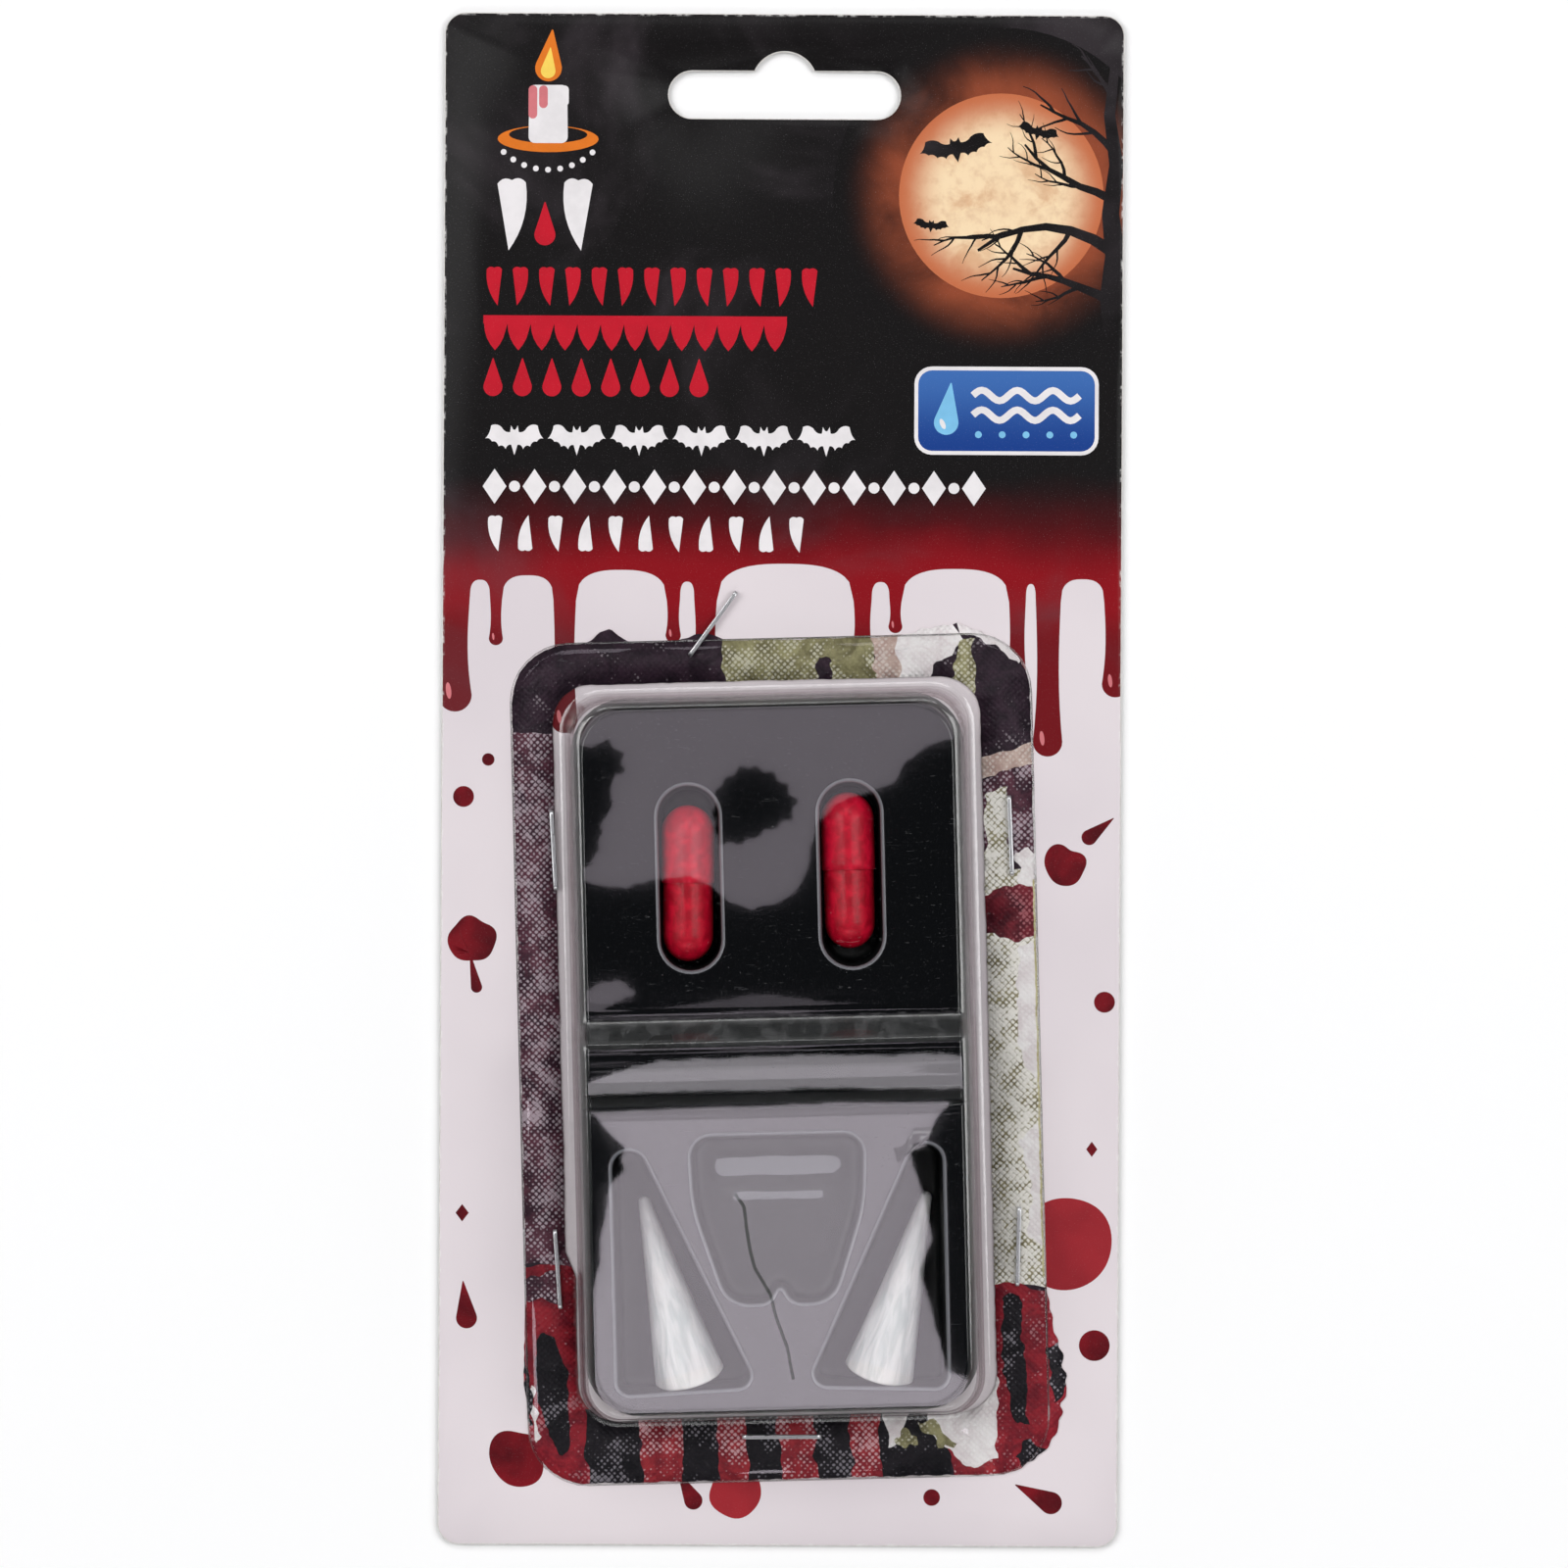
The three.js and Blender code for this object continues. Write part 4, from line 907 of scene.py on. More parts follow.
def slot_outline():
    end, steps = SLOT_HEIGHT / 2, 18
    top = SLOT_MIDDLE + end
    hump = top + HUMP_RISE - HUMP_RADIUS
    foot = math.asin((top - hump) / HUMP_RADIUS)
    straight = SLOT_WIDTH / 2 - end
    return (
        arc(straight, SLOT_MIDDLE, end, -QUARTER, QUARTER, steps)
        + arc(0, hump, HUMP_RADIUS, foot, math.pi - foot, steps)
        + arc(-straight, SLOT_MIDDLE, end, QUARTER, 1.5 * math.pi, steps)
    )


def build_card():
    half_x, half_y = CARD_WIDTH / 2, CARD_LENGTH / 2
    edge = rounded_box(-half_x, half_x, -half_y, half_y, CARD_CORNER, 12)
    slot = slot_outline()
    inks = [
        cloudy_ink("pale", 0.02, 0.0, "e4dbdf", "dbd2d7", 0.3),
        night_ink(),
        cloudy_ink("blood", 0.16, 0.4, "4e0e16", "7c1620", 0.24),
        cloudy_ink("veil", 0.12, 0.4, "a02a32", "8c242c", 0.28),
        glow_ink(),
        moon_ink(),
        ink("white", "ece8ea"),
        ink("red", "c4182c"),
        badge_ink(),
        ink("orange", "e27824"),
        ink("yellow", "fad660"),
        ink("sky", "80c4ec"),
        ink("shine", "d67a80"),
        board("board_core", "e8e5e2", "cecac6"),
        board("board_back", "c4c1bc", "aca8a2"),
    ]
    cut = plate(offset(edge, -CARD_BEVEL), [offset(slot, CARD_BEVEL)], card_art())
    rim = ([edge, slot], CARD_FRONT - CARD_BEVEL)
    names = {"slot": "printed_card", "replaces": ["backing_card"]}
    slab("printed_card", cut, CARD_FRONT, CARD_BACK, inks, CORE, BACK, rim, **names)


# Formed sheets: rings of rounded boxes from the rim to the front's edge, then strips across. A
# box is its ends in x, its ends in y and its corners' radius.


def box_of(width, length, r):
    return (-width / 2, width / 2, -length / 2, length / 2, r)


def quarter_bend(count):
    """Steps of a quarter round, in shares of its radius: how far in, and how far still to go."""
    return [(1 - math.cos(a), 1 - math.sin(a)) for a in np.linspace(0, QUARTER, count)]


def grown(box, by, round_by=None):
    x0, x1, y0, y1, r = box
    return (x0 - by, x1 + by, y0 - by, y1 + by, max(r + (by if round_by is None else round_by), 0.4))


def mixed(a, b, share):
    return tuple(mix(p, q, share) for p, q in zip(a, b))


def height_at(profile, y):
    return float(np.interp(y, [r[0] for r in profile], [r[1] for r in profile]))


def ring(box, across, along):
    """Points round a box, anticlockwise from its lower right corner, with one at each station on
    its straight sides. Across runs in x and along in y."""
    x0, x1, y0, y1, r = box
    outline, corner = rounded_box(x0, x1, y0, y1, r), 9
    sides = [
        [(x1, y) for y in along],
        [(x, y1) for x in reversed(across)],
        [(x0, y) for y in reversed(along)],
        [(x, y0) for x in across],
    ]
    points = []
    for index, side in enumerate(sides):
        points += outline[index * corner : (index + 1) * corner] + side
    return points


def stations(low, high, step, also=()):
    """Even steps between low and high, with the others that lie there in place of near ones."""
    extra = sorted(v for v in also if low < v < high)
    even = np.linspace(low, high, max(2, round((high - low) / step) + 1))
    kept = [v for v in even if all(abs(v - e) > 0.35 * step for e in extra)]
    return sorted([*kept, *extra])


def sway(x, y, seed, scale=1.0):
    """A smooth, uneven wave between -1 and 1."""
    a = math.sin(0.31 * scale * x + 0.17 * scale * y + 1.7 * seed)
    b = math.sin(0.12 * scale * x - 0.41 * scale * y + 2.9 * seed)
    c = math.sin(0.53 * scale * x + 0.37 * scale * y + 4.1 * seed)
    return (a + b + 0.6 * c) / 2.6


GROOVE_FLOOR = LOWER_PANEL - GROOVE_DEPTH
TRAY_PROFILE = [  # y, height above the card
    (GROOVE_LOW, LOWER_PANEL),
    (GROOVE_LOW + 0.1 * GROOVE_WIDTH, GROOVE_FLOOR),
    (RIDGE_LOW - 0.1 * GROOVE_WIDTH, GROOVE_FLOOR),
    (RIDGE_LOW, LOWER_PANEL),
    (RAMP_LOW - 0.1 * RAMP_WIDTH, LOWER_PANEL),
    (RAMP_LOW + 0.07 * RAMP_WIDTH, mix(LOWER_PANEL, UPPER_PANEL, 0.08)),
    (RAMP_LOW + 0.85 * RAMP_WIDTH, mix(LOWER_PANEL, UPPER_PANEL, 0.93)),
    (RAMP_LOW + 1.05 * RAMP_WIDTH, UPPER_PANEL),
]
SHELL_PROFILE = [(y + 0.3, z + FRONT_RISE) for y, z in TRAY_PROFILE[4:]]
SHELL_FOOT = box_of(SHELL_WIDTH, SHELL_LENGTH, SHELL_CORNER)
FLANGE = (
    -SHELL_WIDTH / 2 - FLANGE_LEFT,
    SHELL_WIDTH / 2 + FLANGE_RIGHT,
    -SHELL_LENGTH / 2 - FLANGE_BOTTOM,
    SHELL_LENGTH / 2 + FLANGE_TOP,
    FLANGE_CORNER,
)
CREASE = [  # a fine fold in the film
    (-6.1, -18.9), (-4.8, -20.8), (-4.6, -23.3), (-4.1, -27.0), (-3.5, -29.5), (-1.4, -33.2),
    (-0.7, -36.4), (0.8, -40.8), (1.5, -45.2),
]


def build_shell():
    low, high = SHELL_PROFILE[0][1], SHELL_PROFILE[-1][1]
    profile = rounded_corners([(-60, low), *SHELL_PROFILE, (60, high)], 0.9)
    leant_in = SHELL_CORNER + SHELL_DRAFT + SHELL_EDGE
    straight_x, straight_y = SHELL_WIDTH / 2 - leant_in, SHELL_LENGTH / 2 - leant_in
    across = stations(-straight_x, straight_x, 1.5)
    along = stations(-straight_y, straight_y, 1.6, [y for y, _ in profile])
    leant = grown(SHELL_FOOT, -SHELL_DRAFT, -0.1)
    rings = []

    def level(box, height, wavy=0.0):
        """A ring at a height, which is a number or goes by y."""
        at = height if callable(height) else lambda y: height
        row = ring(box, across, along)
        rings.append([(x, y, at(y) + wavy * sway(x, y, 2)) for x, y in row])

    level(FLANGE, FLANGE_FACE - 0.12)
    level(grown(FLANGE, -0.08), FLANGE_FACE - 0.04)
    level(grown(FLANGE, -0.3), FLANGE_FACE)
    edge, fillet = grown(FLANGE, -0.3), grown(SHELL_FOOT, FLANGE_FILLET)
    for share in (0.12, 0.28, 0.45, 0.62, 0.8, 0.93):
        level(mixed(edge, fillet, share), FLANGE_FACE - 0.01, 0.012)
    foot = len(rings)
    for done, left in quarter_bend(5):
        level(grown(SHELL_FOOT, FLANGE_FILLET * left), FLANGE_FACE + FLANGE_FILLET * done)
    foot_z = FLANGE_FACE + FLANGE_FILLET
    for share in np.linspace(0, 1, 9)[1:]:
        box = grown(mixed(SHELL_FOOT, leant, share), -0.12 * math.sin(math.pi * share))
        level(box, lambda y: mix(foot_z, height_at(profile, y) - EDGE_DROP, share))
    for done, left in quarter_bend(8)[1:]:
        box = grown(leant, -SHELL_EDGE * done, -0.2 * SHELL_EDGE * done)
        level(box, lambda y: height_at(profile, y) - EDGE_DROP * left)

    build = Build()
    build.bands(rings[: foot + 1])
    build.bands(rings[foot : foot + WALL_RINGS + 1], 1)
    build.bands(rings[foot + WALL_RINGS :])

    rim = [(x, y) for x, y, _ in rings[-1]]
    x_end, y_end = max(x for x, _ in rim), max(y for _, y in rim)
    rows = [[(-x_end, y), *[(x, y) for x in across], (x_end, y)] for y in along]
    hem = offset(rim, -HEM)
    y0, y1 = SHELL_PROFILE[0][0] - 0.3, SHELL_PROFILE[-1][0] + 0.3
    ramp = ([(-x_end, y0), (x_end, y0), (x_end, y1), (-x_end, y1)], 1)
    crease = (branch(CREASE, (0.5, 0.42)), 2)
    points, faces, numbers = plate(rim, [], [ramp, crease], lines=[*rows, hem + hem[:1]])
    front = []
    for x, y in points:
        away = min(x_end - abs(x), y_end - abs(y))
        fade = min(1, max(0, away / 7)) ** 2
        front.append((x, y, height_at(profile, y) - 0.001 * fade * (1 + sway(x, y, 5, 0.7))))
    build.add(front, faces, numbers)
    films = [
        clear_film(),
        clear_film("clear_film_wall", 0.05, 0.03, 0.4),
        clear_film("clear_film_crease", 0.5),
    ]
    shell = build.make("clear_shell", films, "clear_film", ["blister_shell"], BLISTER, SHEET_MERGE)
    solidify(shell, SHELL_SHEET)


# Black tray and its pockets


def capsule_pocket(side):
    half = CAPSULE_RADIUS + CAPSULE_PAST_SIDE
    reach = CAPSULE_LENGTH / 2 + CAPSULE_PAST_END - half
    x = side * CAPSULE_SPACING / 2
    return around_circles([(x, CAPSULE_Y + reach, half), (x, CAPSULE_Y - reach, half)])


def fang_pocket(side):
    end, corner = FANG_CORNER - FANG_PAST_END, FANG_CORNER
    circles = [
        (FANG_RADIUS + FANG_PAST_OUTER - corner, end, corner),
        (0, FANG_LENGTH + FANG_PAST_TIP - FANG_APEX, FANG_APEX),
        (corner - FANG_RADIUS - FANG_PAST_INNER, end - FANG_SKEW, corner),
    ]
    placed = moved(around_circles(circles), 0, 0, -FANG_SPLAY)
    placed = [(side * (x + FANG_SPACING / 2), y + FANG_Y) for x, y in placed]
    return placed if side > 0 else placed[::-1]


def centre_pocket():
    half = [(0.5, 0, 2.8), (0.485, 0.42, 24), (0.3, 1, 4.2), (0.07, 1, 2.3)]
    corners = [(-a, d, r) for a, d, r in half] + [(0, 0.87, 0.8)] + half[::-1]
    placed = [(a * CENTRE_WIDTH, CENTRE_TOP - d * CENTRE_LENGTH, r) for a, d, r in corners]
    return rounded_polygon(placed, 9)


CENTRE_BARS = [(-15.4, 1.3, 8.8, 0.7), (-19.6, 0.55, 6.4, 0.4)]  # y, half width and length, rise


def centre_relief(x, y):
    """Two low bars across the floor."""
    total = 0.0
    for middle, half_width, half_length, rise in CENTRE_BARS:
        over = math.hypot(max(0, abs(y - middle) - half_width), max(0, abs(x) - half_length))
        share = min(1, over)
        total += rise * (1 - share * share * (3 - 2 * share))
    return total


def points_within(xs, ys, outline):
    grid = [(x, y) for x in xs for y in ys]
    return [p for p, good in zip(grid, inside(grid, outline)) if good]


def pocket(build, outline, panel, depth, relief=None, bars=()):
    """Walls and floor of a pocket, from the lip round its mouth down. Bars are outlines on the
    floor, made in the lip's lighter grey, a painted highlight. Returns the mouth."""
    outline = resample(outline, 1.4)
    floor = panel - depth
    wall_top, wall_foot = panel - POCKET_LIP, floor + POCKET_FOOT
    rows = []
    for done, left in quarter_bend(5):
        rows.append((POCKET_LIP * left, panel - POCKET_LIP * done))
    for share in (0.33, 0.66):
        rows.append((-POCKET_DRAFT * share, mix(wall_top, wall_foot, share)))
    for done, left in quarter_bend(5):
        rows.append((-POCKET_DRAFT - POCKET_FOOT * done, floor + POCKET_FOOT * left))
    rings = [[(x, y, z) for x, y in offset(outline, by)] for by, z in rows]
    # the lip's rounding is lighter grey and rougher: a painted highlight along the pocket's mouth
    build.bands(rings[:5], 2)
    build.bands(rings[4:], 1)

    rim = [(x, y) for x, y, _ in rings[-1]]
    step = 0.8 if relief else 1.6
    xs, ys = [np.arange(min(c) + step, max(c), step) for c in zip(*rim)]
    loose = points_within(xs, ys, offset(rim, -0.4 * step))
    points, faces, numbers = plate(rim, [], [(rim, 1), *[(bar, 2) for bar in bars]], loose)
    gap = np.linalg.norm(points - nearest(points, [rim]), axis=1)
    dish = 0.35 * np.minimum(gap / 4, 1) ** 1.5
    heights = [floor + d + (relief(x, y) if relief else 0) for (x, y), d in zip(points, dish)]
    build.add([(x, y, z) for (x, y), z in zip(points, heights)], faces, numbers)
    return offset(outline, POCKET_LIP)


def build_tray():
    top = box_of(SHELL_WIDTH - 2 * TRAY_INSET, SHELL_LENGTH - 2 * TRAY_INSET, TRAY_CORNER)
    profile = rounded_corners([(-60, LOWER_PANEL), *TRAY_PROFILE, (60, UPPER_PANEL)], 0.45)
    straight_x, straight_y = top[1] - top[4] - 0.7, top[3] - top[4] - 0.7
    across = stations(-straight_x, straight_x, 2.4)
    along = stations(-straight_y, straight_y, 2.4, [y for y, _ in profile])
    rings, fall = [], 1.1 * TRAY_EDGE
    for share in (0, 0.3, 0.6, 0.85):
        row = ring(grown(top, TRAY_DRAFT * (1 - share)), across, along)
        rings.append([(x, y, mix(TRAY_BASE, height_at(profile, y) - fall, share)) for x, y in row])
    for done, left in quarter_bend(7):
        row = ring(grown(top, -TRAY_EDGE * done), across, along)
        rings.append([(x, y, height_at(profile, y) - fall * left) for x, y in row])
    build = Build()
    build.bands(rings[:-1], 1)
    build.bands(rings[-2:])

    # bars on the centre pocket's floor, drawn in the lip's lighter grey: painted highlights
    bars = []
    for seed, (y, width, length, _) in enumerate(CENTRE_BARS):
        bar = rounded_box(-length, length, y - width, y + width, 0.9 * width)
        bars.append(ragged(bar, 0.16, 40 + seed, 0.6))
    mouths = []
    for side in (-1, 1):
        mouths.append(pocket(build, capsule_pocket(side), UPPER_PANEL, CAPSULE_POCKET_DEPTH))
    for side in (-1, 1):
        mouths.append(pocket(build, fang_pocket(side), LOWER_PANEL, FANG_POCKET_DEPTH))
    mouths.append(pocket(build, centre_pocket(), LOWER_PANEL, CENTRE_DEPTH, centre_relief, bars))

    rim = [(x, y) for x, y, _ in rings[-1]]
    x_end = max(x for x, _ in rim)
    steep = [y for y in along if GROOVE_LOW - 1.5 < y < RAMP_LOW + 2 * RAMP_WIDTH]
    rows = [[(-x_end, y), *[(x, y) for x in across], (x_end, y)] for y in steep]
    level = [y for y in along if not steep[0] <= y <= steep[-1]]
    loose = points_within(across, level, ring(grown(top, -TRAY_EDGE - 0.5), across, along))
    for mouth in mouths:
        taken = inside(loose, offset(mouth, 0.5))
        loose = [p for p, bad in zip(loose, taken) if not bad]
    hems = [offset(rim, -HEM), *[offset(mouth, HEM) for mouth in mouths]]
    lines = [*rows, *[hem + hem[:1] for hem in hems]]
    dull = []
    for y0, y1 in (
        (GROOVE_LOW - 0.25, RIDGE_LOW + 0.25),
        (RAMP_LOW - 0.2 * RAMP_WIDTH, RAMP_LOW + 1.15 * RAMP_WIDTH),
    ):
        dull.append(([(-x_end, y0), (x_end, y0), (x_end, y1), (-x_end, y1)], 1))
    points, faces, numbers = plate(rim, mouths, dull, loose, lines)
    build.add([(x, y, height_at(profile, y)) for x, y in points], faces, numbers)
    plastics = [
        black_plastic("black_tray", "111214", 0.012),
        black_plastic("black_floor", "121415", 0.42, 0.28),
        # lighter grey, rougher plastic for the lips and floor bars: a painted highlight on the black
        # sheet
        black_plastic("black_lip_painted_highlight", "707076", 0.3),
    ]
    nodes = ["insert_tray_upper", "insert_tray_lower"]
    tray = build.make("black_tray", plastics, "black_tray", nodes, BLISTER, SHEET_MERGE)
    solidify(tray, TRAY_SHEET)


# Torn paper: zones of an older print round the window, in the blister's own frame

TEARS = [  # side, place along it, reach, width
    ("top", -0.31, 0.77, 0.73), ("top", -0.13, 0.4, 1.0), ("top", 0.34, 0.63, 1.5),
    ("right", -0.39, 0.97, 3.0), ("left", -0.36, 0.23, 2.7),
]
TEAR_REACH, TEAR_WIDTH, RAG, RAG_STEP = 2.7, 3.0, 0.11, 0.42
PAPERS = [  # name, print, darker print, fibre, how much crosshatch, how large its bare places
    ("plum", "382834", "241a23", "beb2ba", 0.4, 0.3),
    ("side", "623846", "38222e", "cebec8", 0.7, 0.9),
    ("olive", "a09b74", "686246", "e2decc", 0.7, 0.8),
    ("cream", "a49c7c", "7e7658", "f2eee8", 1.0, 2.1),
    ("crimson", "9c2632", "6c1826", "dea8b0", 0.4, 0.5),
    ("black", "201c22", "121016", "a6a0aa", 0.6, 0.5),
    ("white", "f2eeee", "ded4d6", "faf8f8", 0.3, 0.6),
    ("beige", "ceb8ae", "b0948c", "eee6e2", 0.5, 0.8),
    ("blot", "7a2632", "461822", "ce848c", 0.5, 0.7),
    ("knurl", "a6323a", "761e2a", "e8c0c6", 0.7, 0.8),
    ("rim", "cec698", "b0a678", "e8e4d2", 0.6, 1.0),
]
PLUM, SIDE, OLIVE, CREAM, CRIMSON, BLACK, TORN_WHITE, BEIGE, BLOT, KNURL, RIM, PULP = range(12)
BLOCKS = [-28.3, -20.6, -14.6, -9.6, -5.4, -0.8, 4.3, 9.4, 13.6, 23.6, 29.6]
ZONES = [
    (SIDE, [(-41, 46.4), (-25, 46.9), (-27, -29.6), (-41, -29.0)]),
    (CRIMSON, [(-41, -29.2), (-27, -29.6), (-27, -50.5), (-28, -65), (-41, -65)]),
    (SIDE, [(-36.6, -31.2), (-31.2, -30.0), (-32.0, -34.9), (-36.4, -34.0)]),
    (BLACK, ellipse(-32.8, -47.4, 2.2, 8.8, 0.12)),
    (TORN_WHITE, ellipse(-35.6, -50.5, 0.4, 4.2, 0.1)),
    (BLACK, ellipse(-36.5, -47.5, 0.6, 4.6, 0.05)),
    (OLIVE, [(-6.4, 63), (15.2, 63), (16.2, 50), (-5.4, 50)]),
    (PLUM, [(7.6, 56.6), (9.6, 55.9), (9.2, 52), (6.9, 52)]),
    (BEIGE, [(14.2, 63), (19.4, 63), (20.4, 50), (16.6, 50)]),
    (TORN_WHITE, [(18.8, 64), (24.0, 64), (28.6, 58.4), (24.6, 55.2), (21.6, 50), (19.2, 50)]),
    (TORN_WHITE, [(27.0, 66), (27.6, 59.2), (31.0, 58.8), (36.2, 54.6), (38.6, 57.5), (36, 66)]),
    (OLIVE, [(25.6, 50), (27.6, 57.8), (29.9, 58.5), (29.7, 50)]),
    (BEIGE, [(29, 41.0), (41, 44.6), (41, 41.6), (29, 37.9)]),
    (SIDE, [(29, 37.9), (41, 41.6), (41, 27.4), (29, 27.4)]),
    (CREAM, [(30.9, 36.2), (34.2, 37.4), (34.4, 24), (30.6, 24)]),
    (CREAM, [(30.5, 25.5), (41, 25.5), (41, -34.0), (29.2, -34.0)]),
    (TORN_WHITE, [(35.0, 27.9), (36.8, 28.6), (38.7, 25.7), (38.2, 22.3), (35.6, 23.4)]),
    (TORN_WHITE, [(35.2, 14.6), (38.4, 15.2), (38.4, -5.0), (36.4, -4.0), (34.6, 1.0)]),
    (TORN_WHITE, [(34.4, -13.0), (38.4, -10.2), (38.4, -29.0), (35.6, -27.0), (36.2, -19.0)]),
    (BLOT, ellipse(34.8, 19.4, 5.4, 4.0, 0.1, 30)),
    (CRIMSON, [(29, -33.6), (43, -34.6), (43, -65), (29, -65)]),
    (BLACK, [(31.5, -35.6), (34.2, -35.2), (34.9, -53.6), (33.2, -53.8), (31.4, -46)]),
    (BLACK, [(37.8, -43.0), (40.8, -41.0), (41.6, -47), (38.6, -51)]),
    (BLACK, lozenge(35.2, -58.3, 4.8, 5.6)),
    *[
        (KNURL if i % 2 else BLACK, [(x0, -50), (x1, -50), (x1 + 0.6, -65), (x0 + 0.3, -65)])
        for i, (x0, x1) in enumerate(zip(BLOCKS, BLOCKS[1:]))
    ],
    (TORN_WHITE, [(14.4, -50), (18.4, -50), (17.0, -55.6), (14.8, -56.6)]),
    (OLIVE, ellipse(17.4, -55.4, 1.5, 1.2)),
    (TORN_WHITE, [(20.4, -50), (30.4, -44), (30.4, -58.4), (27.0, -59.8), (20.8, -55.0)]),
    (OLIVE, [(18.9, -52.9), (21.3, -52.8), (24.4, -56.2), (22.6, -56.9)]),
]


def torn_outline():
    box = grown(FLANGE, -0.3)
    edge = resample(rounded_box(*box, 12), RAG_STEP)
    middle = ((box[0] + box[1]) / 2, (box[2] + box[3]) / 2)
    width, length = FLANGE[1] - FLANGE[0], FLANGE[3] - FLANGE[2]
    spots = []
    for side, along, reach, wide in TEARS:
        place = (middle[0] + along * width, FLANGE[3])
        if side != "top":
            place = (FLANGE[0 if side == "left" else 1], middle[1] + along * length)
        spots.append((place, TEAR_REACH * reach, TEAR_WIDTH * wide))
    draw = random.Random(11)
    waves = [(draw.uniform(0.5, 4.5), draw.uniform(0, 6.28), draw.uniform(0.3, 1)) for _ in range(9)]
    by = []
    for index, point in enumerate(edge):
        rag = sum(size * math.sin(rate * RAG_STEP * index + start) for rate, start, size in waves) / 4
        torn = sum(
            reach * math.exp(-((math.dist(point, place) / wide) ** 2)) for place, reach, wide in spots
        )
        by.append(RAG * rag * (1 + 0.8 * torn) + torn * (1 + 0.1 * rag))
    return pushed(edge, by)


def build_residue():
    x0, x1, y0, y1, r = SHELL_FOOT
    left, right, top, bottom = x0 - 1.7, x1 + 1.7, y1 + 1.3, y0 + 0.2
    window = [(right, bottom, r), (right, top, r), (left, top, r)]
    window += [(left, -27.5, 0.8), (x0 - 0.3, -31.0, 0.8), (x0 - 0.3, bottom, r)]
    window = ragged(rounded_polygon(window, 10), 0.16, 6, 0.5)
    outline = torn_outline()
    zones = [(ragged(points, 0.52, 20 + i, 0.6), number) for i, (number, points) in enumerate(ZONES)]
    bare = [(x, y) for x, y in offset(outline, -0.28) if x > 33 and -33 < y < 24]
    zones.append((bare + [(x + 3, y) for x, y in bare[::-1]], RIM))
    papers = [torn_print(*row) for row in PAPERS] + [board("torn_pulp", "e2dcd8", "c4bab4")]
    slab(
        "torn_paper",
        plate(outline, [window], zones),
        RESIDUE_BASE + RESIDUE_THICKNESS,
        RESIDUE_BASE,
        papers,
        PULP,
        PULP,
        slot="torn_paper",
        replaces=["seal_residue"],
        matrix=BLISTER,
    )


# Fang caps and capsules: profiles of (radius, height), turned about their axis


def lathe(profile, segments, bend):
    """Bend moves each point (x, y, z)."""
    rings = []
    for r, z in profile:
        angles = [TURN * i / segments for i in range(segments)]
        rings.append([bend(r * math.cos(a), r * math.sin(a), z) for a in angles])
    build = Build()
    build.bands(rings)
    return build


def build_fang(name, side, seed, shift, askew):
    lean = math.atan2(FANG_RADIUS - FANG_TIP, FANG_LENGTH)
    fall = (FANG_RADIUS - FANG_TIP) / FANG_LENGTH
    mouth = FANG_RADIUS - FANG_WALL / math.cos(lean)
    end = mouth - fall * FANG_HOLLOW
    profile = [
        (end * math.sin(a), FANG_HOLLOW - end * (1 - math.cos(a)))
        for a in np.linspace(APEX, QUARTER, 8)
    ]
    for s in np.linspace(0, 1, 9)[1:]:
        profile.append((mix(end, mouth, s), (FANG_HOLLOW - end) * (1 - s)))
    wide = FANG_RADIUS - 0.02
    for done, left in quarter_bend(5):
        profile.append((wide - FANG_LIP * left, FANG_LIP * done))
    tip_z = FANG_LENGTH - FANG_TIP
    flank = (FANG_TIP * math.cos(lean), tip_z + FANG_TIP * math.sin(lean))
    for s in np.linspace(0, 1, 26)[1:]:
        waist = 0.048 * math.sin(math.pi * s)
        profile.append((mix(wide, flank[0], s) - waist, mix(FANG_LIP, flank[1], s)))
    for a in np.linspace(lean, QUARTER - 0.03, 8)[1:]:
        profile.append((FANG_TIP * math.cos(a), tip_z + FANG_TIP * math.sin(a)))

    def bend(x, y, z):
        """The gum side bulges at the mouth, and faint ridges run towards the tip."""
        a = math.atan2(y, x)
        share = min(1, max(0, z / FANG_LENGTH))
        z -= FANG_BULGE * max(0, -y / FANG_RADIUS) * max(0, 1 - z / 9) ** 2
        ridges = 0.045 * math.sin(5 * a + seed) + 0.03 * math.sin(9 * a + 2.1 * seed + 0.25 * z)
        shrink = 0.992 - ridges * (1 - share) * 0.3
        return (x * shrink, y * shrink, z)

    build = lathe(profile, 72, bend)
    height = LOWER_PANEL - FANG_POCKET_DEPTH + SEAT_GAP + FANG_RADIUS * math.cos(lean)
    place = moved_by(side * FANG_SPACING / 2 + shift, FANG_Y - 0.5, height)
    turn = Matrix.Rotation(-side * FANG_SPLAY - math.radians(askew), 4, "Z")
    matrix = BLISTER @ place @ turn @ Matrix.Rotation(-lean, 4, "X") @ turned_by(-90, "X")
    build.make(f"fang_{name}", [tooth_resin()], "white_resin", [f"fang_cap_{name}"], matrix)


def domed(radius, length):
    straight = length / 2 - radius
    angles = np.linspace(0.0, QUARTER, 12)
    points = [(radius * math.cos(a), straight + radius * math.sin(a)) for a in angles]
    return points[:-1] + [(APEX, points[-1][1])]


